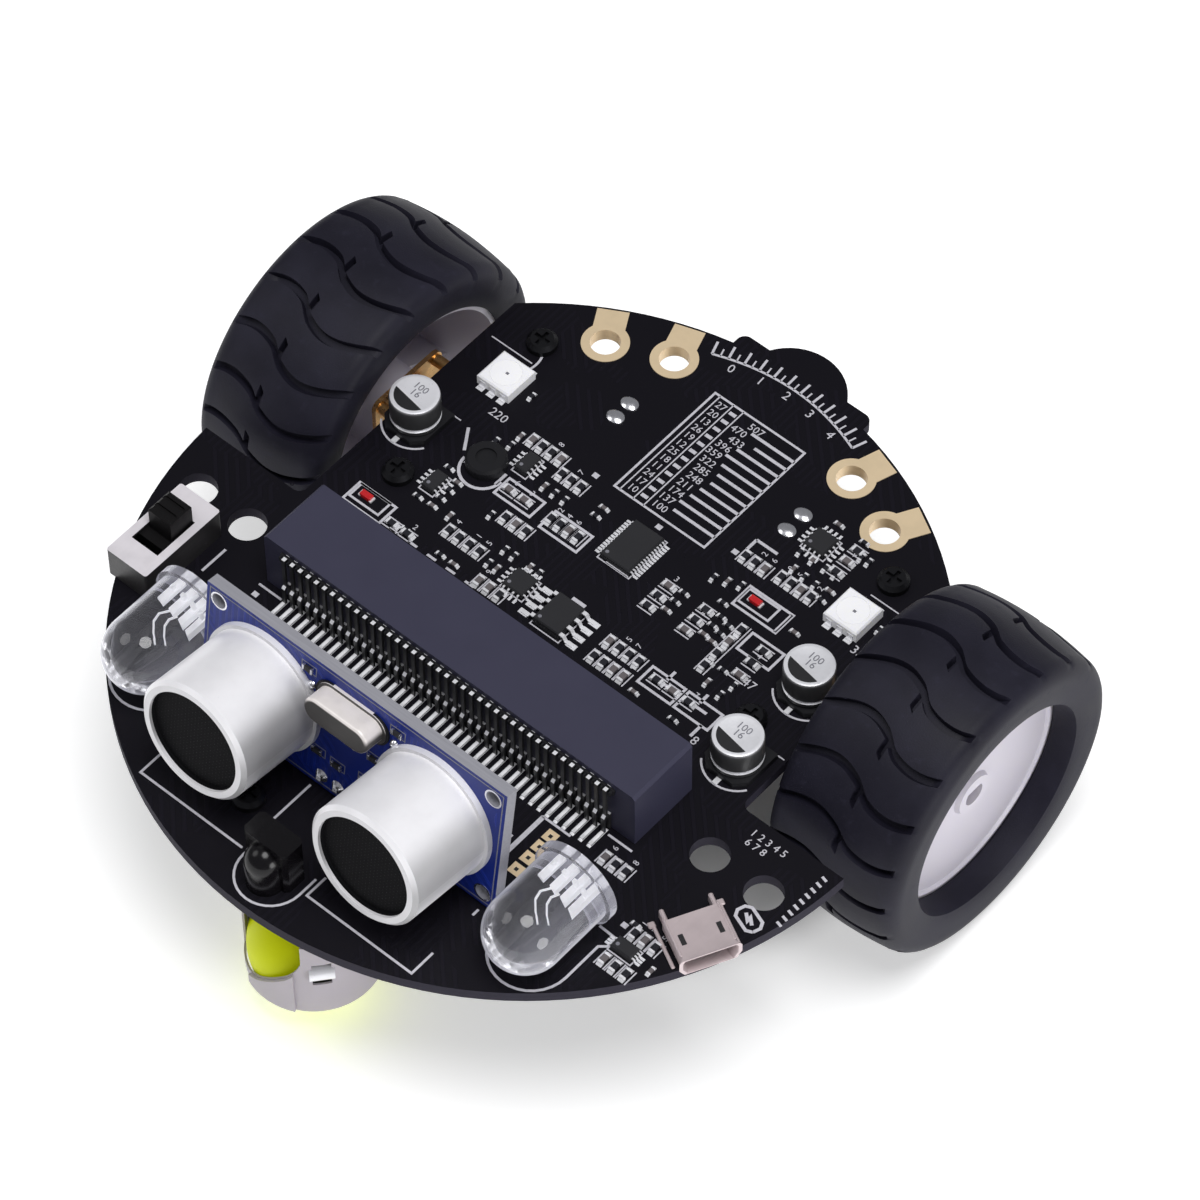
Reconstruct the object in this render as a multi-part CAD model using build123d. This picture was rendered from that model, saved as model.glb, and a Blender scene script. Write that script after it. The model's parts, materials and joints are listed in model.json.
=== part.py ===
from build123d import *
from math import atan2, cos, degrees, radians, sin, sqrt
import os

# Two-wheel line follower robot on a round circuit board. Millimetres.
# +X is to the right seen from the front, the front looks along -Y, +Z is up.
# The floor is z = 0, and the origin is under the middle of the robot's length and width.
# Places on the board are given as (right, ahead): ahead is measured forwards from the wheel axle.

# ---- Driving dimensions ----
wheel_radius = 21.0
wheel_width = 19.0
wheel_track = 90.0            # between the two tyres' middle planes
axle_drop = 5.8               # axle centre below the board's underside
board_thickness = 1.6
board_radius = 49.7
axle_behind_centre = 20.3     # axle line behind the centre of the board's circle
tail_reach = 54.1             # tip of the tail behind the centre of the board's circle

# ---- Clearances ----
seat_gap = 0.02               # between a seated piece and its seat, on a radius
running_gap = 0.05            # between a shaft and its bearing, on a radius
moving_gap = 0.3              # between free moving pieces and what is beside them

# ---- Places that follow from the driving dimensions ----
board_underside = wheel_radius + axle_drop
board_top = board_underside + board_thickness
board_centre_y = (board_radius - tail_reach) / 2
axle_y = board_centre_y + axle_behind_centre

# ---- Board outline ----
well_margin = 1.2             # between a well's inner side and the tyre
well_inner = wheel_track / 2 - wheel_width / 2 - well_margin
well_front_ahead = 22.8
well_corner = 1.2
tail_dome_radius = 7.0
tail_shoulder_half = 10.2
tail_shoulder_drop = 3.5      # shoulders below the tail's tip
tail_corner = 1.2

# ---- Ring pads for clips at the rear edge ----
ring_places = [(13.9, -21.7), (21.9, -18.2)]
ring_outer = 3.0
ring_bore = 1.9
ring_tab_width = 4.0
ring_edge_margin = 0.35
plating = 0.1
ring_barrel = 0.2             # wall of the plated hole

# ---- Building block holes, a pair on each side ----
block_hole_radius = 2.4
block_pitch = 8.0
block_inner = 36.0
block_ahead = 30.2

# ---- Fasteners, all M2 ----
screw_radius = 1.0
screw_head_radius = 1.95
screw_head_height = 1.3
screw_head_edge = 0.5
screw_recess = 0.5
screw_recess_length = 2.2
screw_recess_width = 0.5
screw_end = 0.4               # screw beyond its nut
screw_hole = 1.1
nut_flats = 4.0
nut_thickness = 1.6

# ---- Edge connector, forty contacts above and forty below ----
contact_count = 40
contact_pitch = 1.27
contact_width = 0.5
contact_thickness = 0.3
socket_ahead = 34.7           # front face of the housing
socket_depth = 10.0
socket_height = 9.0
socket_side = 3.8             # housing beyond the outer contacts
slot_side = 1.4               # slot beyond the outer contacts
slot_floor = 2.6
slot_ceiling = 8.2
slot_back_wall = 1.7
slot_lead_in = 0.6
socket_edge = 0.4
card_thickness = 1.6
contact_reach = 3.1           # contact bump inside the slot mouth
contact_tip_run = 1.3         # from the bump out to the tip
contact_tip_rise = 0.9
contact_slope_run = 3.4       # from the bump back to the slot's wall
lead_stand = 0.75             # upper leads ahead of the housing
lead_knee_height = 3.2
lead_knee_step = 0.35
lead_foot = 2.4

# ---- Ultrasonic ranging module ----
sonar_ahead = 50.9            # front face of its board at mid height
sonar_height = 10.4           # middle of its board above the main board
sonar_lean = 8.5              # leans back, degrees
sonar_width = 45.5
sonar_tall = 20.0
sonar_thickness = 1.6
sonar_eye_half = 13.0
can_radius = 8.0
can_flange_radius = 8.5
can_flange = 0.8
can_length = 12.3
can_lip = 1.3
can_recess = 0.9
can_edge = 0.5
mesh_thickness = 0.3
sonar_hole = 1.0
sonar_hole_inset = 1.9
crystal_length = 9.6
crystal_deep = 3.2
crystal_tall = 3.6
crystal_rise = 5.9
crystal_flange = 0.4          # flange beyond the can, all round
crystal_flange_height = 0.4
crystal_edge = 0.4
header_pins = 4
header_pitch = 2.54
header_block = 2.5
header_lift = 0.5             # strip above the module's lower edge
pin_width = 0.6
pin_tip = 0.6                 # pin ahead of the module's front face
pin_bend = 1.2                # pin behind the strip, before it turns down

# ---- Searchlights, two 10 mm lamps lying on the board ----
lamp_side = 29.4
lamp_back_ahead = 45.2
lamp_radius = 5.0
lamp_flange_radius = 5.6
lamp_flange = 1.2
lamp_straight = 8.0
lamp_leads = 4
lamp_lead_pitch = 1.27
lamp_lead_width = 0.5
lamp_lead_bend = 1.3

# ---- Small parts on the board ----
rgb_side = 27.1
rgb_ahead = -6.0
rgb_size = 5.0
rgb_height = 1.6
rgb_window = 2.0
rgb_window_depth = 0.3
rgb_edge = 0.2
capacitor_places = [(-31.2, 5.7), (29.9, 5.4), (30.0, 18.3)]
capacitor_base = 6.6
capacitor_base_height = 0.9
capacitor_base_corner = 1.3
capacitor_radius = 3.15
capacitor_height = 5.4
capacitor_edge = 0.5
receiver_ahead = 64.0
receiver_width = 6.6
receiver_deep = 3.4
receiver_tall = 7.2
receiver_dome = 2.4
receiver_dome_drop = 0.8      # dome's top below the body's
receiver_corner = 0.5
microphone_place = (-20.5, 5.0)
microphone_radius = 2.6
microphone_height = 1.5
microphone_edge = 0.3
microphone_port = 1.3
microphone_port_depth = 0.3
indicator_places = [(17.0, -0.3), (-28.0, 18.0)]
buzzer_ahead = -14.0
buzzer_radius = 4.6
buzzer_height = 5.0
buzzer_hole = 1.0
buzzer_hole_depth = 1.2
buzzer_edge = 0.4

# ---- Slide switch ----
switch_place = (-40.4, 39.6)
switch_width = 6.4
switch_length = 12.8
switch_shell_height = 4.6
switch_wall = 0.4
switch_corner = 0.35
switch_base_height = 0.9
switch_window_width = 4.2
switch_window_length = 6.4
lever_width = 3.6
lever_length = 3.6
lever_rise = 3.2
lever_foot_width = 4.9
lever_foot_length = 6.6
lever_foot_height = 1.6
lever_edge = 0.4
lever_groove = 0.5            # width of the two grip grooves
lever_groove_depth = 0.3
lever_groove_half = 0.7

# ---- Micro USB socket ----
usb_place = (42.4, 39.0)
usb_angle = -38.0
usb_width = 7.5
usb_depth = 5.6
usb_height = 2.7
usb_wall = 0.3
usb_flare = 0.5
usb_slope = 1.2               # height of the sloping lower corners
usb_slot_length = 1.8
usb_slot_width = 0.5
usb_slot_half = 1.6
usb_slot_ahead = 0.4
tongue_width = 3.7
tongue_height = 0.6
tongue_depth = 3.6

# ---- Gearmotor, flat type with an open gearbox ----
motor_width = 12.0            # along the robot
motor_height = 10.0
motor_length = 15.0
endcap_length = 2.0
endcap_step = 0.5             # cap inside the can's outline
bearing_length = 2.0
terminal_length = 1.6
terminal_thickness = 0.5
terminal_width = 2.0
terminal_half = 4.0
gearbox_length = 9.0
gearbox_outer_face = 38.3     # from the middle of the robot
gear_plate = 0.6
gear_plate_corner = 1.2
gear_teeth_big = 21
gear_teeth_small = 9
gear_centres = 3.1
gear_pin_radius = 0.4
gear_width = 1.0
gear_stage = 1.8              # step from one stage to the next
gear_play = 0.1               # between neighbours along the axle
tooth_tip = 0.8               # addendum, in modules
tooth_root = 1.1              # dedendum, in modules
tooth_tip_share = 0.2         # half width of a tip, as a share of half the pitch
tooth_root_share = 0.62
post_radius = 0.8
post_place = (4.9, 3.9)
motor_shaft_radius = 0.5
motor_shaft_seat = 1.8        # shaft end inside the motor can
shaft_radius = 1.5
shaft_shoulder = 0.4          # round part beyond the gearbox, before the flat
shaft_length = 10.0           # beyond the gearbox
shaft_flat = 1.0              # from the axis to the flat

# ---- Motor brackets ----
bracket_wall = 1.5
bracket_inner = 23.0
bracket_length = 9.0
bracket_ear = 2.2
bracket_gusset_reach = 2.4
bracket_gusset_height = 3.0
bracket_reach = 16.2          # from the axle to the end of an ear
bracket_screw_half = 13.0
bracket_corner = 2.6

# ---- Wheels ----
hub_radius = 15.6
hub_rim = 1.6
hub_inner_edge = 8.65         # rim edge from the wheel's middle plane, towards the robot
hub_face = 5.0                # outer face of the web from the middle plane
hub_web = 1.4
hub_bead = 0.35               # rim beyond the outer face
hub_bead_slope = 0.4
hub_boss_radius = 3.6
hub_boss_end = 6.0
hub_cap_radius = 3.0
hub_cap_height = 0.6
hub_cap_slope = 0.3
hub_ribs = 6
hub_rib = 1.2
hub_rib_sink = 0.2            # rib into the boss and into the rim
hub_rib_inner = 2.0           # rib edge from the middle plane, towards the robot
tyre_shoulder = 2.2
tyre_crown = 0.6              # start of a shoulder below the tread's middle
tyre_opening = 14.5
tyre_lip = 0.9
tyre_lip_inset = 0.3          # inner lip inside the sidewall
sidewall_dish = 0.3           # how far the outer sidewall leans in at the opening
sidewall_edge = 0.5
tread_grooves = 20
tread_depth = 1.2
tread_width = 1.1
tread_sweep = 1.6             # a bend from the line straight across
tread_end_sweep = 0.9
tread_inner_bend = 0.19       # bends from the middle plane, as shares of the width
tread_outer_bend = 0.24

# ---- Ball caster ----
caster_ahead = 58.9
ball_radius = 8.0
ball_gap = 0.25
cage_radius = 8.9
cage_bottom = 5.4
cage_taper = 1.2
cage_foot = 0.6               # bottom opening edge inside the cage's wall
cage_edge = 0.8
cage_window_corner = 2.6
cage_window_margin = 0.3      # between an arm and the window beside it
cage_window_floor = 9.8
cage_roof = 2.4
arm_count = 3
arm_turn = 50.0               # first arm, to the right of straight ahead, degrees
arm_width = 5.4
arm_radius = 9.8
roller_radius = 1.2
roller_length = 3.0
roller_lift = 34.0            # roller centre above the ball's equator, degrees
roller_gap = 0.1
roller_pocket_margin = 0.7    # pocket above and below the roller
neck_radius = 5.2
caster_flange = 2.0
caster_flange_length = 24.0
caster_flange_width = 13.0
caster_screw_half = 9.0

# ---- Battery ----
cell_radius = 7.05
cell_length = 48.5
cell_button_radius = 2.75
cell_button = 1.5
cell_edge = 0.4
holder_ahead = 25.9
holder_floor = 1.2
holder_wall = 1.2
holder_end = 1.5
holder_drop = 12.5
holder_side_drop = 9.0
holder_slack = 3.2            # room for the contact springs, in all
leaf = 0.3
leaf_width = 6.0
leaf_foot_half = 4.2
leaf_bow_half = 2.2
leaf_flat_half = 0.8

# ---- Line sensors ----
sensor_board_ahead = 44.5
sensor_board_length = 38.0
sensor_board_width = 9.0
sensor_board_height = 13.2    # underside above the floor
sensor_half = 6.6
sensor_length = 10.2
sensor_width = 5.8
sensor_drop = 6.5
sensor_eye = 1.75
sensor_eye_half = 2.6
sensor_eye_depth = 1.2
sensor_corner = 0.5
sensor_board_corner = 1.5
standoff_half = 14.0
standoff_flats = 4.6
standoff_thread = 4.0

# ---- Chips: centre to the right, ahead, size across, size along, height ----
ic_list = [
    (1.0, 3.3, 4.4, 6.5, 1.0),
    (1.1, 16.5, 3.9, 4.9, 1.3),
    (-16.6, 2.0, 1.7, 2.9, 1.0),
    (-23.2, 11.2, 1.7, 2.9, 1.0),
    (-5.6, 15.8, 3.0, 3.0, 0.9),
    (17.4, -11.8, 3.0, 3.0, 0.9),
    (37.2, 46.4, 2.9, 1.7, 1.0),
]
chip_length = 1.6
chip_width = 0.8
chip_height = 0.5
ic_edge = 0.15
indicator_height = 0.6

# Rows of chip parts: first place to the right and ahead, step right, step ahead, count, turned
chip_rows = [
    (-18.6, -1.2, 1.5, 0.0, 4, True),
    (-12.6, 0.4, 1.5, 0.0, 3, True),
    (-15.8, 6.2, 2.4, 0.0, 2, False),
    (-9.2, 6.2, 1.4, 0.0, 4, True),
    (-13.4, 9.6, 1.6, 0.0, 3, True),
    (-17.2, 15.4, 1.6, 0.0, 4, True),
    (-9.6, 18.6, 1.6, 0.0, 3, True),
    (7.8, 4.6, 0.0, 1.9, 3, False),
    (13.4, 4.4, 0.0, 1.9, 3, False),
    (7.8, 15.2, 1.5, 0.0, 4, True),
    (7.8, 18.0, 1.5, 0.0, 4, True),
    (15.6, 15.8, 2.4, 0.0, 3, False),
    (18.4, 4.0, 0.0, 2.2, 4, True),
    (22.4, 4.6, 0.0, 2.2, 3, False),
    (11.8, -4.6, 1.5, 0.0, 3, True),
    (17.0, -5.0, 1.5, 0.0, 4, True),
    (21.4, -9.8, 0.0, -2.0, 3, False),
    (27.3, 38.4, 1.55, 0.0, 3, True),
    (36.6, 44.0, 1.5, 0.0, 3, True),
    (36.2, 48.8, 1.6, 0.0, 3, True),
    (-23.0, 19.0, 2.4, 0.0, 2, False),
]


def at(right, ahead, height=0.0):
    """A place on top of the main board."""
    return Pos(right, axle_y - ahead, board_top + height)


def below(right, ahead, drop=0.0):
    """A place under the main board."""
    return Pos(right, axle_y - ahead, board_underside - drop)


def both_sides(shape):
    """The right-hand piece and its mirror image on the left."""
    return [shape, mirror(shape, about=Plane.YZ)]


def save(name, *shapes):
    """Writes one piece, or one group of separate pieces, as a named file."""
    solids = [solid for shape in shapes for solid in shape.solids()]
    export_step(solids[0] if len(solids) == 1 else Compound(children=solids), f"parts/{name}.step")


def disc(radius, height):
    """A cylinder standing on its origin."""
    return Cylinder(radius, height, align=(Align.CENTER, Align.CENTER, Align.MIN))


def block(across, along, height):
    """A box standing on its origin."""
    return Box(across, along, height, align=(Align.CENTER, Align.CENTER, Align.MIN))


def hexagon(flats):
    """A nut's section: six flats round a screw's bore."""
    return RegularPolygon(flats / 2, 6, major_radius=False) - Circle(screw_radius + seat_gap)


def strip(points, thickness, width):
    """A bent metal strip: a centreline in the YZ plane, thickened and given a width along X."""
    left, right = [], []
    for i, (y, z) in enumerate(points):
        before = points[max(i - 1, 0)]
        after = points[min(i + 1, len(points) - 1)]
        a = Vector(y - before[0], z - before[1]) if i > 0 else Vector(after[0] - y, after[1] - z)
        b = Vector(after[0] - y, after[1] - z) if i < len(points) - 1 else a
        na = Vector(-a.Y, a.X).normalized()
        nb = Vector(-b.Y, b.X).normalized()
        mitre = (na + nb).normalized()
        reach = thickness / 2 / mitre.dot(na)
        left.append((y + mitre.X * reach, z + mitre.Y * reach))
        right.append((y - mitre.X * reach, z - mitre.Y * reach))
    outline = make_face(Polyline(*left, *reversed(right), close=True))
    return extrude(Plane.YZ * outline, width / 2, both=True)


# ---- Main board ----
screw_places = [(side * (bracket_inner + bracket_length / 2), end * bracket_screw_half)
                for side in (-1, 1) for end in (-1, 1)]
caster_screws = [(side * caster_screw_half, caster_ahead) for side in (-1, 1)]
standoff_places = [(side * standoff_half, sensor_board_ahead) for side in (-1, 1)]
block_places = [(side * (block_inner + k * block_pitch), block_ahead) for side in (-1, 1) for k in (0, 1)]
mirrored_rings = [(side * x, ahead) for side in (-1, 1) for x, ahead in ring_places]


def main_board():
    outline = Pos(0, board_centre_y) * Circle(board_radius)
    tip_y = board_centre_y + tail_reach
    outline += Pos(0, tip_y - tail_dome_radius) * Circle(tail_dome_radius)
    shoulder_y = tip_y - tail_shoulder_drop
    shoulder = Pos(0, shoulder_y) * RectangleRounded(
        2 * tail_shoulder_half, 4 * tail_corner, tail_corner, align=(Align.CENTER, Align.MAX))
    outline += shoulder
    well = RectangleRounded(board_radius, board_radius, well_corner, align=(Align.MIN, Align.MIN))
    for side in (0, 180):
        cut = Pos(well_inner, axle_y - well_front_ahead) * well
        outline -= cut if side == 0 else mirror(cut, about=Plane.YZ)
    for x, ahead in mirrored_rings:
        outline -= Pos(x, axle_y - ahead) * Circle(ring_bore + ring_barrel + seat_gap)
    for x, ahead in block_places:
        outline -= Pos(x, axle_y - ahead) * Circle(block_hole_radius)
    for x, ahead in screw_places + caster_screws + standoff_places:
        outline -= Pos(x, axle_y - ahead) * Circle(screw_hole)
    return Pos(0, 0, board_underside) * extrude(outline, board_thickness)


def ring_pad(x, ahead):
    """Plated ring through the board, with a tab above and below that runs out to the edge."""
    y = axle_y - ahead
    outwards = degrees(atan2(y - board_centre_y, x))
    to_edge = board_radius - ring_edge_margin - sqrt(x * x + (y - board_centre_y) ** 2)
    tab = Rot(0, 0, outwards) * Rectangle(to_edge, ring_tab_width, align=(Align.MIN, Align.CENTER))
    plate = extrude(Circle(ring_outer) + tab - Circle(ring_bore), plating)
    lining = extrude(Circle(ring_bore + ring_barrel) - Circle(ring_bore), board_thickness + 2 * plating)
    top = Pos(0, 0, board_thickness + plating) * plate
    return Pos(x, y, board_underside - plating) * (plate + top + lining)


# ---- Edge connector ----
contact_span = (contact_count - 1) * contact_pitch
socket_width = contact_span + 2 * socket_side
slot_width = contact_span + 2 * slot_side
socket_front = axle_y - socket_ahead
socket_back = socket_front + socket_depth
slot_middle = (slot_floor + slot_ceiling) / 2
slot_end = socket_front + slot_back_wall


def connector_housing():
    body = Pos(0, socket_front, board_top) * Box(
        socket_width, socket_depth, socket_height, align=(Align.CENTER, Align.MIN, Align.MIN))
    body = chamfer(body.edges().filter_by(Axis.Y).group_by(Axis.Z)[-1], socket_edge)
    slot_height = slot_ceiling - slot_floor
    slot_depth = socket_back - slot_end
    body -= Pos(0, slot_end, board_top + slot_floor) * Box(
        slot_width, slot_depth, slot_height, align=(Align.CENTER, Align.MIN, Align.MIN))
    mouth = Plane.XZ.offset(-socket_back)
    opening = mouth * Pos(0, board_top + slot_middle) * Rectangle(
        slot_width + 2 * slot_lead_in, slot_height + slot_lead_in)
    inner = Plane.XZ.offset(-(socket_back - slot_lead_in)) * Pos(0, board_top + slot_middle) * Rectangle(
        slot_width, slot_height)
    body -= loft([opening.face(), inner.face()])
    passage = Box(contact_span + contact_width, slot_back_wall, contact_thickness,
                  align=(Align.CENTER, Align.MIN, Align.MIN))
    body -= Pos(0, socket_front, board_top + slot_ceiling - contact_thickness) * passage
    body -= Pos(0, socket_front, board_top + slot_floor) * passage
    return body


def contact_row(path):
    contact = Pos(0, 0, board_top) * strip(path, contact_thickness, contact_width)
    first = -contact_span / 2
    return [Pos(first + k * contact_pitch, 0, 0) * contact for k in range(contact_count)]


def upper_contacts():
    half = contact_thickness / 2
    high = slot_ceiling - half
    bump = slot_middle + card_thickness / 2
    bump_y = socket_back - contact_reach
    lead_y = socket_front - lead_stand
    knee_y = lead_y - lead_knee_step
    return contact_row([
        (bump_y + contact_tip_run, bump + contact_tip_rise), (bump_y, bump),
        (bump_y - contact_slope_run, high),
        (lead_y, high), (lead_y, lead_knee_height), (knee_y, lead_knee_height - lead_knee_step),
        (knee_y, half), (knee_y - lead_foot, half)])


def lower_contacts():
    half = contact_thickness / 2
    low = slot_floor + half
    bump = slot_middle - card_thickness / 2
    bump_y = socket_back - contact_reach
    return contact_row([
        (bump_y + contact_tip_run, bump - contact_tip_rise), (bump_y, bump),
        (bump_y - contact_slope_run, low),
        (socket_front - half, low), (socket_front - half, 0.0)])


# ---- Ultrasonic module, modelled about the middle of its board's front face ----
header_level = header_lift + header_block / 2 - sonar_tall / 2
sonar_seat = Pos(0, axle_y - sonar_ahead, board_top + sonar_height) * Rot(-sonar_lean, 0, 0)
forwards = Rot(90, 0, 0)      # turns +Z to the front, -Y


def header_place(k):
    """How far pin k stands to the right of the module's middle."""
    return (k - (header_pins - 1) / 2) * header_pitch


def sonar_board():
    outline = Rectangle(sonar_width, sonar_tall)
    for side in (-1, 1):
        for end in (-1, 1):
            outline -= Pos(side * (sonar_width / 2 - sonar_hole_inset),
                           end * (sonar_tall / 2 - sonar_hole_inset)) * Circle(sonar_hole)
    for k in range(header_pins):
        outline -= Pos(header_place(k), header_level) * Rectangle(pin_width, pin_width)
    return sonar_seat * forwards * Pos(0, 0, -sonar_thickness) * extrude(outline, sonar_thickness)


def transducer_can(side):
    floor = can_length - can_recess - mesh_thickness
    lip = can_radius - can_lip
    profile = make_face(Polyline(
        (0, 0), (can_flange_radius, 0), (can_flange_radius, can_flange), (can_radius, can_flange),
        (can_radius, can_length - can_edge), (can_radius - can_edge, can_length), (lip, can_length),
        (lip, floor), (0, floor), close=True))
    can = revolve(Plane.XZ * profile, Axis.Z)
    return sonar_seat * Pos(side * sonar_eye_half, 0, 0) * forwards * can


def transducer_mesh(side):
    grille = disc(can_radius - can_lip - seat_gap, mesh_thickness)
    rise = can_length - can_recess - mesh_thickness
    return sonar_seat * Pos(side * sonar_eye_half, 0, 0) * forwards * Pos(0, 0, rise) * grille


def crystal():
    can = extrude(SlotOverall(crystal_length, crystal_tall), crystal_deep)
    foot = extrude(SlotOverall(crystal_length + 2 * crystal_flange, crystal_tall + 2 * crystal_flange),
                   crystal_flange_height)
    can = fillet(can.faces().sort_by(Axis.Z)[-1].edges(), crystal_edge)
    return sonar_seat * forwards * Pos(0, crystal_rise, 0) * (can + foot)


def sonar_header():
    """Plastic strip behind the module's lower edge; the pins run through it."""
    length = header_pins * header_pitch
    strip_body = Box(length, header_block, header_block, align=(Align.CENTER, Align.MIN, Align.CENTER))
    strip_body = Pos(0, sonar_thickness, header_level) * strip_body
    for k in range(header_pins):
        strip_body -= Pos(header_place(k), sonar_thickness, header_level) * Box(
            pin_width, 3 * header_block, pin_width)
    return sonar_seat * strip_body


def sonar_pins():
    """Bent pins: through the module and its strip, then down on to the main board."""
    level = header_level
    rear = sonar_thickness + header_block + pin_bend
    lean = radians(sonar_lean)
    stand = sonar_height + level * cos(lean) - rear * sin(lean)
    down = (rear + stand * sin(lean), level - stand * cos(lean))
    pin = strip([(-pin_tip, level), (rear, level), down], pin_width, pin_width)
    pin = sonar_seat * pin
    pin -= Pos(0, 0, board_top) * Box(
        sonar_width, 4 * board_radius, 2 * board_thickness, align=(Align.CENTER, Align.CENTER, Align.MAX))
    return [Pos(header_place(k), 0, 0) * pin for k in range(header_pins)]


# ---- Searchlights ----
lamp_axis = lamp_flange_radius + seat_gap


def lamp_lens():
    top = lamp_flange + lamp_straight
    side = Line((lamp_radius, lamp_flange), (lamp_radius, top))
    dome = RadiusArc((lamp_radius, top), (0, top + lamp_radius), -lamp_radius)
    flange = Polyline((0, 0), (lamp_flange_radius, 0), (lamp_flange_radius, lamp_flange),
                      (lamp_radius, lamp_flange))
    axis = Line((0, top + lamp_radius), (0, 0))
    lens = revolve(Plane.XZ * make_face([flange, side, dome, axis]), Axis.Z)
    return at(lamp_side, lamp_back_ahead, lamp_axis) * forwards * lens


def lamp_lead_group():
    lead = strip([(0, lamp_axis), (lamp_lead_bend, lamp_axis), (lamp_lead_bend, 0)],
                 lamp_lead_width, lamp_lead_width)
    first = -(lamp_leads - 1) / 2 * lamp_lead_pitch
    return [at(lamp_side + first + k * lamp_lead_pitch, lamp_back_ahead) * lead for k in range(lamp_leads)]


# ---- Parts that stand on the board ----
def rgb_led():
    body = block(rgb_size, rgb_size, rgb_height)
    body = chamfer(body.faces().sort_by(Axis.Z)[-1].edges(), rgb_edge)
    body -= Pos(0, 0, rgb_height - rgb_window_depth) * disc(rgb_window, rgb_height)
    return at(rgb_side, rgb_ahead) * body


def capacitor_foot(x, ahead):
    outline = Rectangle(capacitor_base, capacitor_base)
    outline = chamfer(outline.vertices().group_by(Axis.Y)[0], capacitor_base_corner)
    return at(x, ahead) * extrude(outline, capacitor_base_height)


def capacitor_can(x, ahead):
    tall = capacitor_height - capacitor_base_height
    can = disc(capacitor_radius, tall)
    can = fillet(can.edges().group_by(Axis.Z)[-1], capacitor_edge)
    return at(x, ahead, capacitor_base_height) * can


def ir_receiver():
    body = block(receiver_width, receiver_deep, receiver_tall)
    body = chamfer(body.edges().filter_by(Axis.Z), receiver_corner)
    dome_level = receiver_tall - receiver_dome_drop - receiver_dome
    dome = Pos(0, -receiver_deep / 2, dome_level) * Sphere(receiver_dome)
    front = Pos(0, -receiver_deep / 2) * Box(
        4 * receiver_dome, 2 * receiver_dome, 4 * receiver_tall,
        align=(Align.CENTER, Align.MAX, Align.CENTER))
    barrel = Pos(0, -receiver_deep / 2) * disc(receiver_dome, dome_level)
    return at(0, receiver_ahead) * (body + (dome & front) + (barrel & front))


def microphone():
    can = disc(microphone_radius, microphone_height)
    can = chamfer(can.edges().group_by(Axis.Z)[-1], microphone_edge)
    can -= Pos(0, 0, microphone_height - microphone_port_depth) * disc(microphone_port, microphone_height)
    return at(*microphone_place) * can


def indicator(x, ahead):
    return at(x, ahead) * block(chip_length, chip_width, indicator_height)


def buzzer():
    can = disc(buzzer_radius, buzzer_height)
    can = chamfer(can.edges().group_by(Axis.Z)[0], buzzer_edge)
    can -= disc(buzzer_hole, buzzer_hole_depth)
    return below(0, buzzer_ahead, buzzer_height) * can


def ic_packages():
    bodies = []
    for x, ahead, across, along, height in ic_list:
        body = block(across, along, height)
        bodies.append(at(x, ahead) * chamfer(body.faces().sort_by(Axis.Z)[-1].edges(), ic_edge))
    return bodies


def chip_parts():
    chips = []
    for x, ahead, step_x, step_ahead, count, turned in chip_rows:
        chip = block(chip_length, chip_width, chip_height)
        if turned:
            chip = Rot(0, 0, 90) * chip
        for k in range(int(count)):
            chips.append(at(x + k * step_x, ahead + k * step_ahead) * chip)
    return chips


# ---- Slide switch; its lever rests at the rear end of the window ----
lever_travel = switch_window_length - lever_length - 2 * running_gap
shell_inside = switch_shell_height - switch_wall


def switch_base():
    inside = block(switch_width - 2 * switch_wall - 2 * seat_gap,
                   switch_length - 2 * switch_wall - 2 * seat_gap, switch_base_height)
    return at(*switch_place) * inside


def switch_shell():
    shell = block(switch_width, switch_length, switch_shell_height)
    shell = fillet(shell.edges().filter_by(Axis.Z), switch_corner)
    shell -= block(switch_width - 2 * switch_wall, switch_length - 2 * switch_wall, shell_inside)
    shell -= block(switch_window_width, switch_window_length, 2 * switch_shell_height)
    return at(*switch_place) * shell


def switch_lever():
    rear = lever_travel / 2
    foot_low = shell_inside - moving_gap / 2 - lever_foot_height
    foot = Pos(0, 0, foot_low) * block(lever_foot_width, lever_foot_length, lever_foot_height)
    top = switch_shell_height + lever_rise
    knob = Pos(0, 0, foot_low) * block(lever_width, lever_length, top - foot_low)
    knob = chamfer(knob.faces().sort_by(Axis.Z)[-1].edges(), lever_edge)
    for end in (-1, 1):
        knob -= Pos(0, end * lever_groove_half, top - lever_groove_depth) * block(
            lever_width, lever_groove, 2 * lever_groove_depth)
    return at(*switch_place) * Pos(0, rear, 0) * (foot + knob)


# ---- Micro USB socket ----
usb_seat = at(*usb_place) * Rot(0, 0, usb_angle)


def usb_profile(width, height):
    half = width / 2
    foot = half - usb_slope / 2
    return make_face(Polyline(
        (-foot, 0), (foot, 0), (half, usb_slope), (half, height), (-half, height), (-half, usb_slope),
        close=True))


def usb_shell():
    """Rolled steel shell, open at its mouth, which points out over the board's edge."""
    across = Plane.YZ.offset(-usb_depth / 2)
    shell = extrude(across * usb_profile(usb_width, usb_height), usb_depth)
    mouth = Plane.YZ.offset(usb_depth / 2)
    lip = mouth.offset(usb_flare) * usb_profile(usb_width + usb_flare, usb_height + usb_flare / 2)
    shell += loft([(mouth * usb_profile(usb_width, usb_height)).face(), lip.face()])
    bore = usb_profile(usb_width - 2 * usb_wall, usb_height - 2 * usb_wall)
    shell -= Pos(0, 0, usb_wall) * extrude(
        Plane.YZ.offset(usb_wall - usb_depth / 2) * bore, usb_depth + usb_flare)
    for side in (-1, 1):
        shell -= Pos(usb_slot_ahead, side * usb_slot_half, usb_height) * Box(
            usb_slot_length, usb_slot_width, 3 * usb_wall)
    return usb_seat * shell


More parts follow.
